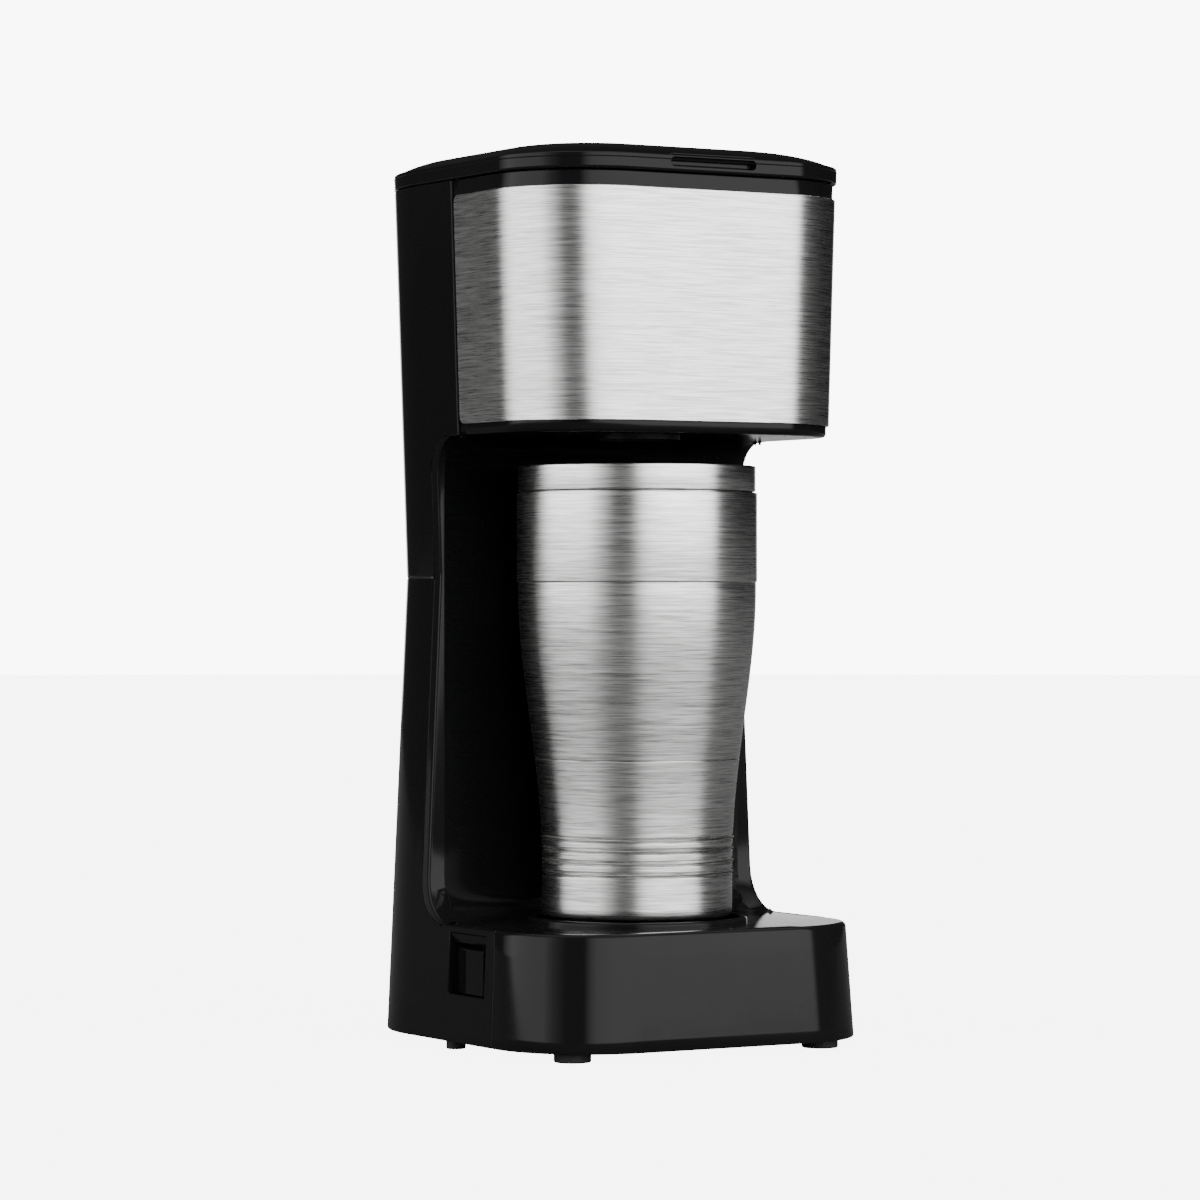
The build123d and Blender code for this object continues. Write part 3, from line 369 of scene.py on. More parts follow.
def metal(name, colour, smooth, rough, stretch=0.65, bump=0.012, dark=0.5):
    """Brushed or drawn metal: tone, gloss and relief all follow the same scratches."""
    if name in bpy.data.materials:
        return bpy.data.materials[name]
    material, tree, shader = plain_material(name)
    surface = add_node(tree, "ShaderNodeGroup", node_tree=brushed_group())
    surface.inputs["Smooth"].default_value = smooth
    surface.inputs["Rough"].default_value = rough
    mixed = add_node(tree, "ShaderNodeMix", data_type="RGBA")
    tree.links.new(surface.outputs["Tone"], mixed.inputs["Factor"])
    mixed.inputs[6].default_value = (*[channel * dark for channel in colour], 1.0)
    mixed.inputs[7].default_value = (*colour, 1.0)
    scratches = {"Height": surface.outputs["Height"], "Strength": bump, "Distance": 0.0002}
    relief = add_node(tree, "ShaderNodeBump", scratches)
    around = add_node(tree, "ShaderNodeTangent", direction_type="RADIAL", axis="Z")
    tree.links.new(mixed.outputs[2], shader.inputs["Base Color"])
    tree.links.new(surface.outputs["Roughness"], shader.inputs["Roughness"])
    tree.links.new(relief.outputs["Normal"], shader.inputs["Normal"])
    tree.links.new(around.outputs["Tangent"], shader.inputs["Tangent"])
    shader.inputs["Metallic"].default_value = 1.0
    shader.inputs["Anisotropic"].default_value = stretch
    shader.inputs["Anisotropic Rotation"].default_value = 0.25
    return material


def clear_plastic(name, colour, roughness, transmission):
    """Smoky see-through plastic for the tank."""
    if name in bpy.data.materials:
        return bpy.data.materials[name]
    material = plastic(name, colour, roughness, roughness + 0.1)
    shader = material.node_tree.nodes["Principled BSDF"]
    shader.inputs["Transmission Weight"].default_value = transmission
    return material


def gloss_black():
    """The housing's gloss black plastic."""
    looks = bpy.context.scene.maker_finish
    return plastic("Gloss black", looks.plastic_colour, looks.plastic_gloss, looks.plastic_gloss + 0.05, 0.11, 0.004)


def satin_black():
    """Matt black plastic of the hidden mouldings and the mug's lid."""
    return plastic("Satin black", (0.012, 0.012, 0.012), 0.42, 0.55, 0.35, 0.05)


def brushed_steel():
    """Brushed stainless steel of the panel and the mug."""
    looks = bpy.context.scene.maker_finish
    return metal("Brushed steel", looks.steel_colour, looks.steel_gloss, looks.steel_gloss + 0.05)


# --- Surfaces ------------------------------------------------------------------------------

def spread(*knots, every=1.0):
    """Values from the first knot to the last that include every knot, no more than every apart."""
    runs = [np.linspace(a, b, max(2, int(abs(b - a) / every) + 1))[:-1] for a, b in zip(knots[:-1], knots[1:])]
    return np.concatenate([*runs, [knots[-1]]])


class FrontSheet:
    """Builds the front moulding row by row: head, ceiling, hollow back wall, deck and base front.
    A row holds the strip columns beside the bay, then the columns across to the centreline."""

    SIDES = np.linspace(0, 1, 7)[:-1]
    TURNS = np.linspace(0, math.pi / 2, 17)
    FLATS = np.linspace(0, 1, 15)[1:]
    STRIPS = 6

    def __init__(self):
        self.rows = []
        self.count = len(self.SIDES) + len(self.TURNS) + len(self.FLATS)
        self.across = np.linspace(0, 1, self.count)

    def add(self, x, y, z, strip_x, strip_y):
        """Adds a row from its own points and its strip points."""
        width = self.STRIPS + self.count
        full_x = np.concatenate([np.broadcast_to(strip_x, self.STRIPS), x])
        full_y = np.concatenate([np.broadcast_to(strip_y, self.STRIPS), y])
        strip_z = np.full(self.STRIPS, np.broadcast_to(z, self.count)[0])
        full_z = np.concatenate([strip_z, np.broadcast_to(z, self.count)])
        self.rows.append(np.stack([full_x, full_y, full_z], axis=-1)[:width])

    def outline(self, half, start_y, front, radius):
        """Half of a U-shaped outline that starts at the seam and comes round to the front."""
        x, y = corner_path(start_y, half, front, radius, self.SIDES, self.TURNS, self.FLATS)
        return x[0], y[0]

    def upright(self, z, half, start_y, front, radius):
        """A row on the outside of the head or the base."""
        x, y = self.outline(half, start_y, front, radius)
        self.add(x, y, z, x[0], y[0])

    def wall(self):
        """Plan of the hollow back wall: an arc of BAY_RADIUS from the bay's edge to its middle."""
        x = -BAY_HALF * (1 - self.across)
        return x, BAY_BACK_Y - BAY_RADIUS + np.sqrt(BAY_RADIUS**2 - x**2)

    def hollow(self, turn, level, way, edge, middle):
        """A row of the fillet between the back wall (turn 0) and a level face (a quarter turn).
        Its radius passes from edge to middle across the row, and way is +1 below a ceiling."""
        x, y = self.wall()
        radius = edge + (middle - edge) * np.sin(self.across * math.pi / 2)
        y = y - radius * (1 - math.cos(turn))
        z = level - way * radius * (1 - math.sin(turn))
        half = half_width(z[0])
        around = np.linspace(0, math.pi / 2, self.STRIPS - 1)
        strip_x = -half + STRIP_FILLET * (1 - np.cos(around))
        strip_y = y[0] + STRIP_FILLET * (1 - np.sin(around))
        strip_x = np.concatenate([[-half], strip_x])
        strip_y = np.concatenate([[y[0] + STRIP_WIDTH], strip_y])
        self.add(x, y, z, strip_x, strip_y)

    def level(self, share, start, end, z, half):
        """A row of the ceiling or the deck, the given share of the way from start to end."""
        x = start[0] + (end[0] - start[0]) * share
        y = start[1] + (end[1] - start[1]) * share
        edge = max(x[0], -half)
        self.add(x, y, z, np.linspace(-half, edge, self.STRIPS) * (1 - share) + edge * share, y[0])


def front_rows():
    """All rows of the front moulding, from the head's rim down and round to the foot of the base."""
    made = FrontSheet()
    head_start = HEAD_SEAM_Y - SEAM
    base_start = BASE_SEAM_Y - SEAM
    radius = FRONT_CORNER - HEAD_STEP
    for inset, z in ((2.0, HEAD_TOP), (0.5, HEAD_TOP), (0.15, HEAD_TOP - 0.15), (0.0, HEAD_TOP - 0.5)):
        half = half_width(z) - HEAD_STEP - inset
        made.upright(z, half, head_start, HEAD_FRONT_Y + inset, radius - inset)
    for z in (300.0, 270.0, 240.0, 221.2, CEILING + HEAD_FILLET):
        made.upright(z, half_width(z) - HEAD_STEP, head_start, HEAD_FRONT_Y, radius)
    for turn in np.linspace(0, math.pi / 2, 7)[1:]:
        inset = HEAD_FILLET * (1 - math.cos(turn))
        z = CEILING + HEAD_FILLET * (1 - math.sin(turn))
        half = half_width(z) - HEAD_STEP - inset
        made.upright(z, half, head_start, HEAD_FRONT_Y + inset, radius - inset)
    ceiling_half = half_width(CEILING) - HEAD_STEP - HEAD_FILLET
    front = made.outline(ceiling_half, head_start, HEAD_FRONT_Y + HEAD_FILLET, radius - HEAD_FILLET)
    middle = LIP_HIGH_RADIUS + (CEILING_FILLET - LIP_HIGH_RADIUS) * np.sin(made.across * math.pi / 2)
    wall_x, wall_y = made.wall()
    back = (wall_x, wall_y - middle)
    for share in (0.04, 0.2, 0.4, 0.6, 0.8, 0.93):
        made.level(1 - share, back, front, CEILING, half_width(CEILING) - 2.6)
    made.level(0.0, back, front, CEILING, half_width(CEILING) - 2.6)
    bend = np.linspace(0, 1, 14)**1.8 * math.pi / 2
    for turn in math.pi / 2 - bend[1:]:
        made.hollow(turn, CEILING, 1, LIP_HIGH_RADIUS, CEILING_FILLET)
    for share in (0.1, 0.25, WAIST_Z, 0.5, 0.75, 0.9):
        z = share if share > 1 else 205.5 + (60.5 - 205.5) * share
        made.hollow(0.0, z, 1, 0.0, 0.0)
    for turn in math.pi / 2 - bend[:0:-1]:
        made.hollow(turn, DECK_TOP, -1, LIP_LOW_RADIUS, FLOOR_FILLET)
    middle = LIP_LOW_RADIUS + (FLOOR_FILLET - LIP_LOW_RADIUS) * np.sin(made.across * math.pi / 2)
    back = (wall_x, wall_y - middle)
    deck_half = half_width(DECK_TOP) - 2.6
    front = made.outline(deck_half, base_start, front_y(DECK_TOP) + 1.5, FRONT_CORNER - 1.5)
    for share in (0.0, 0.08, 0.2, 0.4, 0.6, 0.8, 0.95, 1.0):
        made.level(share, back, front, DECK_TOP, deck_half)
    for turn in np.linspace(0, math.pi / 2, 6):
        inset = 1.5 * (1 - math.sin(turn))
        z = DECK_TOP - 1.5 * (1 - math.cos(turn))
        made.upright(z, half_width(z) - inset, base_start, front_y(z) + inset, FRONT_CORNER - inset)
    for z in (36.0, 26.0, 16.0, 8.0, 4.1):
        made.upright(z, half_width(z), base_start, front_y(z), FRONT_CORNER)
    for inset, z in ((0.15, FOOT_TOP + 0.15), (0.5, FOOT_TOP), (2.4, FOOT_TOP)):
        made.upright(z, half_width(z) - inset, base_start, front_y(z) + inset, FRONT_CORNER - inset)
    return np.stack(made.rows)


def switch_pocket():
    """Pocket behind the window for the power rocker: an open box."""
    corners = [(RECESS_FRONT_Y, RECESS_LOW), (RECESS_REAR_Y, RECESS_LOW),
               (RECESS_REAR_Y, RECESS_SHOULDER), (RECESS_FRONT_Y, RECESS_SHOULDER)]
    ring = np.array(corners)
    mouth = -RECESS_LEDGE
    y = np.stack([ring[:, 0], ring[:, 0], np.full(4, ring[:, 0].mean())])
    z = np.stack([ring[:, 1], ring[:, 1], np.full(4, ring[:, 1].mean())])
    x = np.array([mouth, -RECESS_FLOOR, -RECESS_FLOOR])[:, None]
    return sheet(np.broadcast_to(x, y.shape), y, z, wrap=True)


def sloping_band():
    """The band above the pocket: its lower edge is set in and its upper edge meets the side."""
    edge = half_width(RECESS_HIGH) - 0.1
    outline = [(-RECESS_LEDGE, RECESS_SHOULDER), (-edge, RECESS_HIGH - 0.1),
               (-64.0, RECESS_HIGH - 0.1), (-64.0, RECESS_SHOULDER)]
    return prism(outline, RECESS_FRONT_Y, RECESS_REAR_Y, "y")


def waist_lap():
    """A tongue inside the wall that closes the seam between the two rear shells."""
    z = np.array([WAIST_Z - 5.0, WAIST_Z + 5.0])
    x, y = corner_path(LIP_Y + 1.5, half_width(z) - 0.4, rear_y(z) - 0.4, REAR_CORNER - 0.4,
                       np.linspace(0, 1, 4)[:-1], np.linspace(0, math.pi / 2, 25), np.array([0.5, 1.0]))
    x, y = mirrored(x, y)
    return sheet(x, y, np.broadcast_to(z[:, None], x.shape))


def lower_shell():
    """Lower rear shell: it reaches forward beside the base and its front edge curves up beside the bay.
    The second patch closes a square left out at the back down to the round opening for the cord gland."""
    z = np.concatenate([
        spread(FOOT_TOP, GLAND_Z - 11.0, RECESS_LOW, GLAND_Z + 11.0, 36.0, RECESS_HIGH, every=2.5),
        [RECESS_HIGH + 1.2, DECK_TOP],
        DECK_TOP + LIP_LOW_RADIUS * (1 - np.cos(np.linspace(0, math.pi / 2, 13)[1:])),
        spread(66.0, WAIST_Z - SEAM, every=14.0)])
    rise = np.clip((z - DECK_TOP) / LIP_LOW_RADIUS, 0, 1)
    lip = LIP_Y - LIP_LOW_RADIUS + LIP_LOW_RADIUS * np.sqrt(1 - (1 - rise)**2)
    lip = np.where(z <= DECK_TOP, LIP_Y - LIP_LOW_RADIUS, lip)
    ahead = np.concatenate([
        [BASE_SEAM_Y, BASE_SEAM_Y + 1.5, -34.5], spread(RECESS_FRONT_Y, RECESS_REAR_Y, every=5.0), [-4.0, -2.0]])
    reach = np.concatenate([[0.0, 0.06], np.linspace(0.12, 1, 9)[:-1]])
    turns = np.linspace(0, math.pi / 2, 25)
    x, y = corner_path(lip, half_width(z), rear_y(z), REAR_CORNER, reach, turns, np.linspace(0, 1, 13)[1:])
    high = z[:, None] > DECK_TOP
    front_x = np.broadcast_to(-half_width(z)[:, None], (len(z), len(ahead)))
    ahead_y = np.where(high, lip[:, None], ahead[None])
    x, y = mirrored(np.concatenate([front_x, x], axis=1), np.concatenate([ahead_y, y], axis=1))
    cols = x.shape[1]
    column = np.arange(cols - 1)
    beside = (column < len(ahead)) | (column >= cols - 1 - len(ahead))
    ahead_row = (y[0, 1:] + y[0, :-1]) / 2
    window = (x[0, 1:] < 0) & (ahead_row > RECESS_FRONT_Y) & (ahead_row < RECESS_REAR_Y)
    beside_window = (z[:-1] > RECESS_LOW - 0.1) & (z[1:] < RECESS_HIGH + 0.1)
    keep = ~((z[:-1, None] >= DECK_TOP) & beside[None]) & ~(beside_window[:, None] & window[None])
    low, high = np.argmin(abs(z - GLAND_Z + 11.0)), np.argmin(abs(z - GLAND_Z - 11.0))
    left, right = cols // 2 - 9, cols // 2 + 9
    keep[low:high, left:right] = False
    rim = [(low, col) for col in range(left, right)] + [(row, right) for row in range(low, high)]
    rim += [(high, col) for col in range(right, left, -1)] + [(row, left) for row in range(high, low, -1)]
    outer = np.array([(x[row, col], z[row]) for row, col in rim])
    around = np.arctan2(outer[:, 1] - GLAND_Z, outer[:, 0])
    inner = np.stack([GLAND_OPENING * np.cos(around), GLAND_Z + GLAND_OPENING * np.sin(around)], axis=-1)
    share = np.array([0.0, 0.4, 0.75, 1.0])[:, None, None]
    rings = outer * (1 - share) + inner * share
    square = sheet(rings[..., 0], rear_y(rings[..., 1]), rings[..., 1], wrap=True)
    return [sheet(x, y, np.broadcast_to(z[:, None], x.shape), keep), square]


def upper_shell():
    """Upper rear shell: its front edge curves down beside the bay, and it closes the head's back."""
    arc = CEILING - LIP_HIGH_RADIUS * (1 - np.sin(np.linspace(0, math.pi / 2, 11)))
    z = np.concatenate([
        spread(WAIST_Z + SEAM, 169.0, 204.0, every=12.0), arc,
        spread(219.0, 298.0, every=14.0), [301.5, 304.0, 306.0, 306.9, HEAD_TOP]])
    drop = np.clip((z - CEILING + LIP_HIGH_RADIUS) / LIP_HIGH_RADIUS, 0, 1)
    lip = LIP_Y - LIP_HIGH_RADIUS + LIP_HIGH_RADIUS * np.sqrt(1 - drop**2)
    ahead = np.array([HEAD_SEAM_Y, HEAD_SEAM_Y + 1.5, -1.0, 1.5])
    reach = np.concatenate([[0.0, 0.06], np.linspace(0.12, 1, 9)[:-1]])
    hinge = math.acos((HINGE_HALF + 0.3 - 67.8 + REAR_CORNER) / REAR_CORNER)
    relief = math.acos((30.0 - 67.8 + REAR_CORNER) / REAR_CORNER)
    turns = np.concatenate([np.linspace(0, relief - 0.03, 18), [relief, relief + 0.03],
                            np.linspace(relief + 0.1, hinge - 0.02, 6), [hinge, math.pi / 2]])
    x, y = corner_path(lip, half_width(z), rear_y(z), REAR_CORNER, reach, turns, np.linspace(0, 1, 5)[1:])
    low = z[:, None] < CEILING
    front_x = np.broadcast_to(-half_width(z)[:, None], (len(z), len(ahead)))
    ahead_y = np.where(low, lip[:, None], ahead[None])
    x, y = mirrored(np.concatenate([front_x, x], axis=1), np.concatenate([ahead_y, y], axis=1))
    cols = x.shape[1]
    column = np.arange(cols - 1)
    beside = (column < len(ahead)) | (column >= cols - 1 - len(ahead))
    centre = abs(x[0, 1:] + x[0, :-1]) / 2
    behind = y[0, 1:] > 40
    open_hinge = (z[:-1, None] > 301.45) & (centre < HINGE_HALF + 0.2) & behind
    open_relief = (z[:-1, None] > 305.95) & (centre < 30.2) & behind
    keep = ~((z[1:, None] <= CEILING) & beside[None]) & ~open_hinge & ~open_relief
    return sheet(x, y, np.broadcast_to(z[:, None], x.shape), keep)


def loop_outline(half, front, rear, front_radius, rear_radius, flats):
    """A closed outline for each row, from the front centre round the left side to the rear and back."""
    turns = np.linspace(0, math.pi / 2, 25)
    x, y = corner_path(0.0, half, front, front_radius, np.linspace(0, 1, 10)[:-1], turns, flats)
    rear_x, rear_y_ = corner_path(0.0, half, rear, rear_radius, np.linspace(0, 1, 10)[1:-1], turns, np.array([0.5, 1.0]))
    left_x = np.concatenate([x[:, ::-1], rear_x], axis=1)
    left_y = np.concatenate([y[:, ::-1], rear_y_], axis=1)
    return (np.concatenate([left_x, -left_x[:, -2:0:-1]], axis=1),
            np.concatenate([left_y, left_y[:, -2:0:-1]], axis=1))


def lid_surface(grip_depth):
    """The lid from the bottom of its rim up and over the crown. The crown falls from the top by a fixed
    height times the sixth power of the distance from the middle, as a share of the way to the edge.
    The finger slot is sunk where a rounded rectangle on the front rim has a negative distance."""
    rim = [(0.5, LID_LOW), (0.15, LID_LOW + 0.15), (0.0, LID_LOW + 0.5)]
    rim += [(0.0, z) for z in np.linspace(309.2, 313.35, 30)]
    rim += [(0.08, 313.55), (0.3, LID_RIM), (0.75, LID_RIM - 0.02), (0.85, LID_RIM - 0.35), (0.95, LID_RIM - 0.35)]
    inset = np.array([row[0] for row in rim])
    z = np.array([row[1] for row in rim])
    shares = np.concatenate([[1.0, 0.995, 0.985], np.linspace(0.97, 0.8, 10), np.linspace(0.75, 0.0, 12)])
    crown_z = LID_RIM + (LID_TOP - LID_RIM) * (1 - shares**CROWN_POWER)
    flat_half = LID_HALF - FRONT_CORNER
    near = spread(flat_half, GRIP_HALF + 1.0, every=3.0)[1:]
    slot = np.concatenate([np.linspace(GRIP_HALF + 0.8, GRIP_HALF - 2.4, 22), spread(14.0, 0.0, every=3.5)])
    flats = 1 - np.concatenate([near, slot]) / flat_half
    inset = np.concatenate([inset, np.full(len(shares), 1.0)])
    x, y = loop_outline(LID_HALF - inset, LID_FRONT_Y + inset, LID_REAR_Y - inset,
                        FRONT_CORNER - inset, REAR_CORNER - inset, flats)
    height = np.broadcast_to(np.concatenate([z, crown_z])[:, None], x.shape).copy()
    middle = (LID_FRONT_Y + LID_REAR_Y) / 2
    scale = np.concatenate([np.ones(len(z)), shares])[:, None]
    x, y = x * scale, middle + (y - middle) * scale
    corner = (GRIP_HIGH - GRIP_LOW) / 2
    across = np.maximum(abs(x) - (GRIP_HALF - corner), 0.0)
    up = height - (GRIP_LOW + GRIP_HIGH) / 2
    distance = np.hypot(across, up) - corner
    sunk = np.clip(-distance / 0.9, 0.0, 1.0)
    on_rim = (y < LID_FRONT_Y + 1.0) & (height < LID_RIM - 0.2)
    y = y + np.where(on_rim, grip_depth * sunk**2 * (3 - 2 * sunk), 0.0)
    over_hinge = (y > 60) & (abs(x) < HINGE_HALF + 0.6) & (height < LID_LOW + 0.6)
    height = height + np.where(over_hinge, 0.9, 0.0)
    return sheet(x, y, height, wrap=True)


def knuckle(low, high, strap):
    """A hinge knuckle from one side to the other, with a strap that runs up or down to its moulding."""
    start, stop = (math.radians(angle) for angle in ((-60, 240) if strap > 0 else (120, 420)))
    around = np.linspace(start, stop, 28)
    ring = np.stack([HINGE_Y - KNUCKLE_RADIUS * np.sin(around - math.pi / 2 * (1 - strap) + math.pi / 2),
                     HINGE_Z + KNUCKLE_RADIUS * np.cos(around - math.pi / 2 * (1 - strap) + math.pi / 2)], axis=-1)
    return prism(ring, low, high, "x")


def head_panel_surface():
    """Steel panel wrapped round the head. Its ends start further back away from the rounded corners:
    over the first PANEL_CORNER of height the end follows a quarter circle."""
    z = np.concatenate([PANEL_LOW + PANEL_CORNER * (1 - np.cos(np.linspace(0, math.pi / 2, 9))),
                        spread(230.0, 294.0, every=8.0),
                        PANEL_HIGH - PANEL_CORNER * (1 - np.cos(np.linspace(math.pi / 2, 0, 9)))])
    depth = np.minimum(np.minimum(z - PANEL_LOW, PANEL_HIGH - z), PANEL_CORNER)
    start = PANEL_EDGE_Y - PANEL_CORNER + np.sqrt(PANEL_CORNER**2 - (PANEL_CORNER - depth)**2)
    sides = np.concatenate([[0.0, 0.02], np.linspace(0.1, 1, 7)[:-1]])
    x, y = corner_path(start, half_width(z), HEAD_FRONT_Y - HEAD_STEP, FRONT_CORNER, sides,
                       np.linspace(0, math.pi / 2, 25), np.linspace(0, 1, 9)[1:])
    x, y = mirrored(x, y)
    return sheet(x, y, np.broadcast_to(z[:, None], x.shape))


def mug_radius(z):
    """Outer radius of the mug wall: straight stem, then a smooth step t*t*(3-2t) with t the share of the
    rise from 63 to 163 mm raised to the power 1.1."""
    t = np.clip((z - 63.0) / 100.0, 0, 1)**1.1
    return 34.1 + (42.7 - 34.1) * t * t * (3 - 2 * t)


def grooved_profile(depth):
    """Outside of the mug wall from the foot up, with four rolled double grooves and one shallow line."""
    z = spread(48.4, 60.0, 77.0, 101.5, 104.0, 165.5, every=1.6)
    rings = (62.5, 66.6, 70.9, 74.7)
    fine = np.concatenate([ring + np.linspace(-1.3, 1.3, 27) for ring in rings] + [102.75 + np.linspace(-0.4, 0.4, 9)])
    z = np.unique(np.concatenate([z, fine]).round(3))
    radius = mug_radius(z)
    for ring in rings:
        for line in (-0.6, 0.6):
            radius = radius - depth * np.exp(-((z - ring - line) / 0.24)**2)
        radius = radius + 0.4 * depth * np.exp(-((z - ring) / 0.3)**2)
    radius = radius - 0.5 * np.exp(-((z - 102.75) / 0.15)**2)
    return np.stack([radius, z], axis=-1)


# --- Settings ------------------------------------------------------------------------------

class MakerFinish(bpy.types.PropertyGroup):
    """Colours and gloss of the visible materials."""

    plastic_colour: FloatVectorProperty(
        name="Housing colour", description="Colour of the gloss plastic", subtype="COLOR",
        default=(0.006, 0.006, 0.0065), min=0.0, max=1.0)
    plastic_gloss: FloatProperty(
        name="Housing roughness", description="Lowest roughness of the gloss plastic", subtype="FACTOR",
        default=0.06, min=0.0, max=1.0)
    steel_colour: FloatVectorProperty(
        name="Steel colour", description="Colour of the brushed steel", subtype="COLOR",
        default=(0.88, 0.88, 0.87), min=0.0, max=1.0)
    steel_gloss: FloatProperty(
        name="Steel roughness", description="Lowest roughness of the brushed steel", subtype="FACTOR",
        default=0.27, min=0.0, max=1.0)


class MakerSizes(bpy.types.PropertyGroup):
    """Sizes of the details that the finished surfaces add."""

    shell_wall: FloatProperty(
        name="Shell wall", description="Wall thickness of the rear shells, in metres", subtype="DISTANCE",
        unit="LENGTH", default=0.0024, min=0.001, max=0.004)
    shell_edge: FloatProperty(
        name="Shell edge", description="Rounding of the rear shells' edges, in metres", subtype="DISTANCE",
        unit="LENGTH", default=0.0005, min=0.0001, max=0.001)
    grip_depth: FloatProperty(
        name="Grip depth", description="Depth of the finger slot in the lid, in metres", subtype="DISTANCE",
        unit="LENGTH", default=GRIP_DEPTH * MM, min=0.0005, max=0.004)
    groove_depth: FloatProperty(
        name="Groove depth", description="Depth of the mug's rolled grooves, in metres", subtype="DISTANCE",
        unit="LENGTH", default=0.00085, min=0.0, max=0.0009)


class MakerStage(bpy.types.PropertyGroup):
    """Floor, light and camera."""

    floor_radius: FloatProperty(
        name="Floor radius", description="Radius of the pale floor, in metres", subtype="DISTANCE",
        unit="LENGTH", default=8.0, min=1.0, max=20.0)
    panel_light: FloatProperty(
        name="Panel light", description="Radiance of the soft light panels round the object", default=5.6,
        min=0.0, max=20.0)
    backdrop_light: FloatProperty(
        name="Backdrop", description="Radiance of the backdrop that the camera sees", default=9.0,
        min=0.0, max=40.0)


# --- Operators -----------------------------------------------------------------------------

class MAKER_OT_front(bpy.types.Operator):
    """Front moulding: head front, ceiling and hollow back wall of the mug bay, deck and base front"""

    bl_idname = "maker.front"
    bl_label = "Front moulding"

    def execute(self, context):
        rows = front_rows()
        x, y = mirrored(rows[..., 0], rows[..., 1])
        z = np.concatenate([rows[..., 2], rows[:, -2::-1, 2]], axis=1)
        make_piece("front_moulding", [sheet(x, y, z)], gloss_black(), "housing",
                   nodes=("base_front_cover", "cavity_liner", "head_front_shell"),
                   facing=((0, HEAD_FRONT_Y, 260), (0, -1, 0)), wall=1.2)
        return {"FINISHED"}


class MAKER_OT_shells(bpy.types.Operator):
    """Lower and upper rear shells, with the switch recess and the lid's fixed knuckles"""

    bl_idname = "maker.shells"
    bl_label = "Rear shells"

    def execute(self, context):
        sizes = context.scene.maker_sizes
        wall, edge = sizes.shell_wall / MM, sizes.shell_edge / MM
        make_piece("rear_shell_low", lower_shell(), gloss_black(), "housing", nodes=("lower_rear_shell",),
                   facing=((-70, 40, 60), (-1, 0, 0)), wall=wall, edge=edge)
        make_piece("rear_shell_high", [upper_shell()], gloss_black(), "housing", nodes=("upper_rear_shell",),
                   facing=((-65, 40, 250), (-1, 0, 0)), wall=wall, edge=edge)
        make_piece("switch_pocket", [switch_pocket()], gloss_black(), "housing",
                   facing=((-RECESS_FLOOR, -19, 24), (-1, 0, 0)))
        make_piece("switch_band", [sloping_band()], gloss_black(), "housing",
                   sharp=5.0, edge=0.3)
        make_piece("waist_lap", [waist_lap()], satin_black(), "housing",
                   facing=((-64, 40, WAIST_Z), (-1, 0, 0)), wall=0.8)
        straps = [knuckle(side * (LID_KNUCKLE_HALF + 0.3), side * HINGE_HALF, -1) for side in (-1, 1)]
        make_piece("hinge_seats", straps, gloss_black(), "housing", edge=0.3)
        return {"FINISHED"}


class MAKER_OT_panel(bpy.types.Operator):
    """Brushed steel panel round the head"""

    bl_idname = "maker.panel"
    bl_label = "Head panel"

    def execute(self, context):
        make_piece("steel_panel", [head_panel_surface()], brushed_steel(), "housing", nodes=("head_panel",),
                   facing=((0, -71, 260), (0, -1, 0)), wall=0.9, edge=0.22)
        return {"FINISHED"}


class MAKER_OT_lid(bpy.types.Operator):
    """Lid with its crown, finger slot and hinge knuckle"""

    bl_idname = "maker.lid"
    bl_label = "Lid"

    def execute(self, context):
        depth = context.scene.maker_sizes.grip_depth / MM
        make_piece("lid_cover", [lid_surface(depth)], gloss_black(), "lid", nodes=("lid_outer",),
                   facing=((0, 0, LID_TOP), (0, 0, 1)), wall=1.6)
        make_piece("lid_knuckle", [knuckle(-LID_KNUCKLE_HALF, LID_KNUCKLE_HALF, 1)], gloss_black(), "lid",
                   edge=0.3)
        return {"FINISHED"}


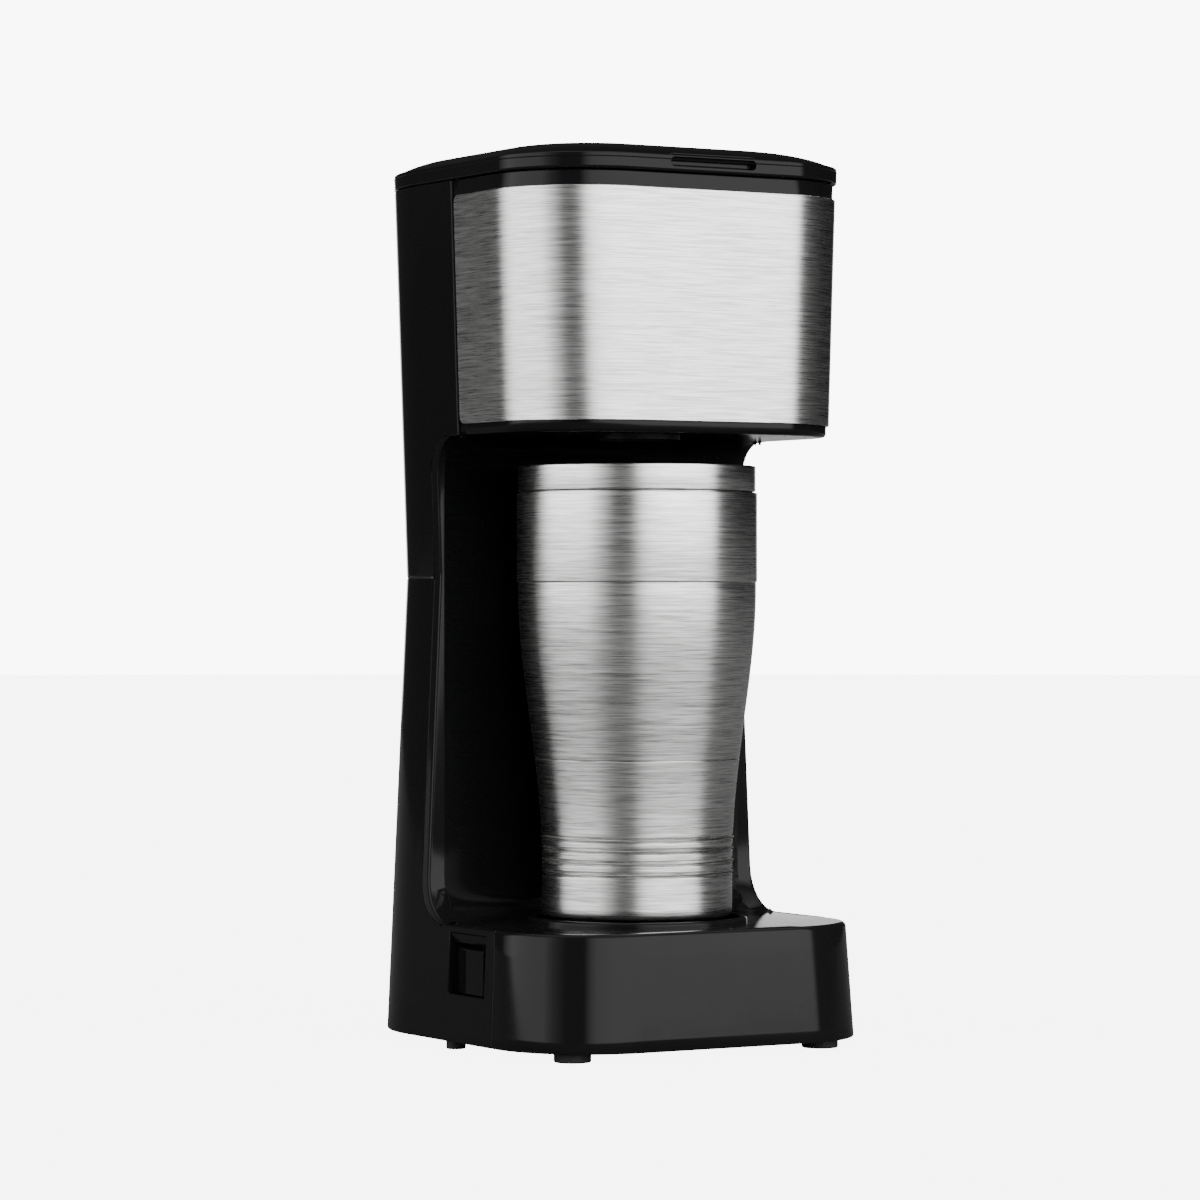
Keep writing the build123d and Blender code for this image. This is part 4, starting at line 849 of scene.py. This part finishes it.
class MAKER_OT_mug(bpy.types.Operator):
    """Travel mug: grooved steel wall, collar, liner and top ring"""

    bl_idname = "maker.mug"
    bl_label = "Travel mug"

    def execute(self, context):
        depth = context.scene.maker_sizes.groove_depth / MM
        steel = brushed_steel()
        foot = soften([(0, 46.8), (32.6, 46.8), (33.5, 47.3), (34.1, 48.4)], 0.8)
        outside = grooved_profile(depth)
        inside = np.stack([mug_radius(outside[::-1, 1]) - 0.9, outside[::-1, 1]], axis=-1)
        wall = np.concatenate([foot[:-1], outside, [(42.6, 165.62), (42.5, 165.78), (41.9, 165.78)], inside, [(32.6, 47.8), (0, 47.8)]])
        make_piece("mug_wall", [turned(wall)], steel, "mug", nodes=("mug_shell",))
        collar = soften([(42.3, 165.8), (43.1, 165.8), (43.1, 197.6), (42.3, 197.6)], 0.35)
        collar = np.concatenate([[(41.8, 165.8)], collar, [(41.8, 197.6), (41.8, 165.8)]])
        make_piece("mug_band", [turned(collar)], steel, "mug", nodes=("mug_collar",))
        ring = soften([(41.5, 198.1), (42.5, 198.1), (42.5, 207.2), (41.4, 207.2), (41.4, 206.4)], 0.45)
        ring = np.concatenate([ring, [(41.4, 198.1), (41.5, 198.1)]])
        make_piece("mug_top_ring", [turned(ring)], steel, "mug", nodes=("mug_lid_ring",))
        liner_z = spread(50.2, 63.0, 163.0, 197.0, every=3.0)
        outer = np.stack([mug_radius(liner_z) - 3.4, liner_z], axis=-1)
        inner = np.stack([mug_radius(liner_z) - 4.3, liner_z + 0.9], axis=-1)[::-1]
        liner = np.concatenate([[(0, 50.2)], outer, [(41.7, 197.2), (41.7, 197.8), (38.6, 197.8)], inner, [(0, 51.1)]])
        make_piece("mug_cup", [turned(liner)], steel, "mug", nodes=("mug_liner",))
        return {"FINISHED"}


class MAKER_OT_switch(bpy.types.Operator):
    """Power rocker"""

    bl_idname = "maker.switch"
    bl_label = "Power rocker"

    def execute(self, context):
        shape = np.array([(-5.2, 0), (-3.5, 12.2), (-0.6, 12.0), (0.6, 5), (0.6, -5), (-0.6, -12.0), (-3.5, -12.2)])
        tilt = math.radians(ROCKER_TILT)
        turn = np.array([(math.cos(tilt), -math.sin(tilt)), (math.sin(tilt), math.cos(tilt))])
        outline = shape @ turn.T + np.array(ROCKER_AXIS[:2])
        faces = prism(outline, ROCKER_AXIS[2] - 7.9, ROCKER_AXIS[2] + 7.9)
        make_piece("rocker_cap", [faces], gloss_black(), "rocker", nodes=("power_rocker",),
                   sharp=5.0, edge=0.35)
        return {"FINISHED"}


class MAKER_OT_feet(bpy.types.Operator):
    """Rubber feet and the ring that the mug stands on"""

    bl_idname = "maker.feet"
    bl_label = "Feet and mug ring"

    def execute(self, context):
        rubber = plastic("Foot rubber", (0.015, 0.015, 0.015), 0.55, 0.75, 0.3, 0.25)
        groups = {"feet_front": ([(-51, -61.5), (51, -61.5)], 6.5), "feet_rear": ([(-44, 54), (44, 54)], 6.5),
                  "feet_side": ([(-63, 0), (63, 0)], 3.5)}
        for node, (places, radius) in groups.items():
            corners = [(0, 0.5), (radius - 2.2, 0.5), (radius - 1.8, 0.0), (radius, 0.0), (radius, 3.6), (0, 3.6)]
            feet = [turned(soften(corners, 0.7), place, 48) for place in places]
            make_piece(f"pads_{node[5:]}", feet, rubber, "housing", nodes=(node,))
        corners = [(36.6, 44.5), (36.6, 46.1), (37.4, 46.3), (38.5, 46.3), (39.5, 45.7), (39.5, 44.5)]
        seat = np.concatenate([soften(corners, 0.35), [(36.6, 44.5)]])
        make_piece("mug_ring_seat", [turned(seat)], gloss_black(), "housing", nodes=("mug_seat",))
        return {"FINISHED"}


class MAKER_OT_carried(bpy.types.Operator):
    """Finishes of the parts whose CAD shape is already final"""

    bl_idname = "maker.carried"
    bl_label = "Inner parts"

    def execute(self, context):
        satin = satin_black()
        finishes = {
            satin: ("base_plate", "lid_inner", "brew_deck", "brew_basket", "shower_arm", "switch_body",
                    "cord_gland", "mug_lid", "mug_slider"),
            clear_plastic("Tank plastic", (0.10, 0.10, 0.11), 0.12, 0.6): ("water_tank",),
            plastic("Filter plastic", (0.02, 0.02, 0.022), 0.35, 0.45): ("filter_frame",),
            metal("Filter steel", (0.62, 0.62, 0.60), 0.3, 0.45): ("filter_mesh",),
            plastic("Silicone", (0.55, 0.55, 0.52), 0.4, 0.55): ("riser_hose", "inlet_hose", "tank_hose"),
            plastic("Pad rubber", (0.02, 0.02, 0.02), 0.6, 0.8): ("mug_base_pad", "mug_lid_seal"),
            plastic("Valve plastic", (0.7, 0.7, 0.66), 0.3, 0.4): ("check_valve", "terminal_block"),
            plastic("Ball glass", (0.35, 0.4, 0.4), 0.05, 0.1): ("check_ball",),
            metal("Cast alloy", (0.55, 0.55, 0.56), 0.4, 0.55, 0.0): ("heater_body", "heater_nipples"),
            metal("Element steel", (0.35, 0.34, 0.33), 0.35, 0.5, 0.0): ("heating_element",),
            metal("Zinc steel", (0.62, 0.62, 0.60), 0.3, 0.45, 0.2): (
                "heater_bracket", "heater_screws", "base_screws", "lid_screws", "hinge_pin"),
            metal("Thermostat metal", (0.68, 0.66, 0.6), 0.3, 0.4, 0.0): ("thermostat",),
            plastic("Fuse sleeve", (0.72, 0.70, 0.62), 0.5, 0.6): ("thermal_fuses",),
            plastic("Wire sleeve", (0.45, 0.44, 0.40), 0.4, 0.5): ("lead_wires",),
        }
        for material, names in finishes.items():
            for name in names:
                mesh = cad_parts[name].data
                mesh.materials.clear()
                mesh.materials.append(material)
        return {"FINISHED"}


class MAKER_OT_stage(bpy.types.Operator):
    """Pale floor, soft light panels all round and the camera"""

    bl_idname = "maker.stage"
    bl_label = "Stage"

    def execute(self, context):
        settings = context.scene.maker_stage
        self.floor(settings.floor_radius)
        self.world(context, settings)
        camera = bpy.data.cameras.new("Camera")
        camera.lens = 135.0
        camera.sensor_width = 36.0
        view = bpy.data.objects.new("Camera", camera)
        view.location = (-0.83322, -1.40118, 0.15934)
        view.rotation_euler = (math.radians(90), 0, math.radians(-30.63))
        context.scene.collection.objects.link(view)
        context.scene.camera = view
        return {"FINISHED"}

    def floor(self, radius):
        """A round pale floor with a faint mottle."""
        material, tree, shader = plain_material("Pale floor")
        cloud = remap(tree, stretched_noise(tree, 3.0, (1, 1, 1)), 0.3, 0.7, 0.14, 0.16)
        tone = add_node(tree, "ShaderNodeCombineColor", {"Red": cloud, "Green": cloud, "Blue": cloud})
        tree.links.new(tone.outputs["Color"], shader.inputs["Base Color"])
        shader.inputs["Roughness"].default_value = 0.9
        shader.inputs["Specular IOR Level"].default_value = 0.1
        shader.inputs["Emission Color"].default_value = (1.0, 1.0, 1.0, 1.0)
        seen = add_node(tree, "ShaderNodeLightPath")
        glow = add_node(tree, "ShaderNodeMath", {0: seen.outputs["Is Camera Ray"], 1: 6.5}, operation="MULTIPLY")
        tree.links.new(glow.outputs[0], shader.inputs["Emission Strength"])
        mesh = bpy.data.meshes.new("floor")
        angle = np.linspace(0, 2 * math.pi, 97)[:-1]
        rim = np.stack([radius * np.cos(angle), radius * np.sin(angle), 0 * angle], axis=-1)
        mesh.from_pydata(rim.tolist(), [], [list(range(96))])
        mesh.materials.append(material)
        piece = bpy.data.objects.new("floor", mesh)
        bpy.context.scene.collection.objects.link(piece)

    def compass(self, tree, share, stops):
        """Light level by direction: (degrees anticlockwise from +X, level) stops joined by straight lines."""
        ramp = add_node(tree, "ShaderNodeValToRGB", {"Fac": share})
        band = ramp.color_ramp
        while len(band.elements) < len(stops):
            band.elements.new(0.5)
        for element, (degrees, level) in zip(band.elements, stops):
            element.position = degrees / 360
            element.color = (level, level, level, 1.0)
        return ramp.outputs["Color"]

    def world(self, context, settings):
        """Light by compass direction: two broad soft panels, dark gaps between them and a bright backdrop."""
        world = bpy.data.worlds.new("Studio")
        context.scene.world = world
        world.use_nodes = True
        tree = world.node_tree
        tree.nodes.clear()
        coords = add_node(tree, "ShaderNodeTexCoord")
        parts = add_node(tree, "ShaderNodeSeparateXYZ", {"Vector": coords.outputs["Generated"]})
        angle = add_node(tree, "ShaderNodeMath", {0: parts.outputs["Y"], 1: parts.outputs["X"]}, operation="ARCTAN2")
        turn = add_node(tree, "ShaderNodeMath", {0: angle.outputs[0], 1: 1 / (2 * math.pi)}, operation="MULTIPLY")
        share = add_node(tree, "ShaderNodeMath", {0: turn.outputs[0]}, operation="FRACT")
        panels = self.compass(tree, share.outputs[0], (
            (0, 0.0), (130, 0.01), (148, 0.74), (190, 0.76), (202, 0.3), (216, 0.02), (237, 0.02), (243, 0.5),
            (250, 0.85), (272, 1.0), (302, 0.97), (316, 0.85), (322, 0.01), (360, 0.0)))
        behind = self.compass(tree, share.outputs[0], ((0, 0.0), (42, 0.0), (48, 0.33), (72, 0.33), (78, 0.0), (360, 0.0)))
        high = remap(tree, parts.outputs["Z"], 0.45, 0.75, 1.0, 0.0)
        level = remap(tree, parts.outputs["Z"], 0.065, 0.10, 1.0, 0.0)
        above = remap(tree, parts.outputs["Z"], 0.7, 0.9, 0.0, 0.25)
        sides = add_node(tree, "ShaderNodeMath", {0: panels, 1: high, 2: above}, operation="MULTIPLY_ADD")
        total = add_node(tree, "ShaderNodeMath", {0: behind, 1: level, 2: sides.outputs[0]}, operation="MULTIPLY_ADD")
        lit = add_node(tree, "ShaderNodeMath", {0: total.outputs[0], 1: settings.panel_light}, operation="MULTIPLY")
        seen = add_node(tree, "ShaderNodeLightPath")
        light = add_node(tree, "ShaderNodeBackground", {"Color": (1, 1, 1, 1), "Strength": lit.outputs[0]})
        plain = add_node(tree, "ShaderNodeBackground", {"Color": (1, 1, 1, 1), "Strength": settings.backdrop_light})
        mixed = add_node(tree, "ShaderNodeMixShader", {0: seen.outputs["Is Camera Ray"]})
        tree.links.new(light.outputs[0], mixed.inputs[1])
        tree.links.new(plain.outputs[0], mixed.inputs[2])
        end = add_node(tree, "ShaderNodeOutputWorld")
        tree.links.new(mixed.outputs[0], end.inputs["Surface"])


class MAKER_PT_panel(bpy.types.Panel):
    """Sidebar panel with the settings and the operators"""

    bl_idname = "MAKER_PT_panel"
    bl_label = "Coffee maker"
    bl_space_type = "VIEW_3D"
    bl_region_type = "UI"
    bl_category = "Coffee maker"

    def draw(self, context):
        for group in SETTINGS:
            settings = getattr(context.scene, group)
            for key in settings.__annotations__:
                self.layout.prop(settings, key)
        for operator in OPERATORS:
            self.layout.operator(operator.bl_idname)


SETTINGS = {"maker_finish": MakerFinish, "maker_sizes": MakerSizes, "maker_stage": MakerStage}
OPERATORS = (MAKER_OT_front, MAKER_OT_shells, MAKER_OT_panel, MAKER_OT_lid, MAKER_OT_mug, MAKER_OT_switch,
             MAKER_OT_feet, MAKER_OT_carried, MAKER_OT_stage)


def register():
    """Registers the settings, the operators and the panel."""
    for group, kind in SETTINGS.items():
        bpy.utils.register_class(kind)
        setattr(bpy.types.Scene, group, PointerProperty(type=kind))
    for kind in (*OPERATORS, MAKER_PT_panel):
        bpy.utils.register_class(kind)


def unregister():
    """Takes back everything that register added."""
    for kind in (MAKER_PT_panel, *reversed(OPERATORS)):
        bpy.utils.unregister_class(kind)
    for group, kind in SETTINGS.items():
        delattr(bpy.types.Scene, group)
        bpy.utils.unregister_class(kind)


def main():
    """Registers the add-on and builds every piece in turn."""
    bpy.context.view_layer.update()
    register()
    for operator in OPERATORS:
        getattr(bpy.ops.maker, operator.bl_idname.split(".")[1])()
    bpy.context.view_layer.update()


if __name__ == "__main__":
    main()
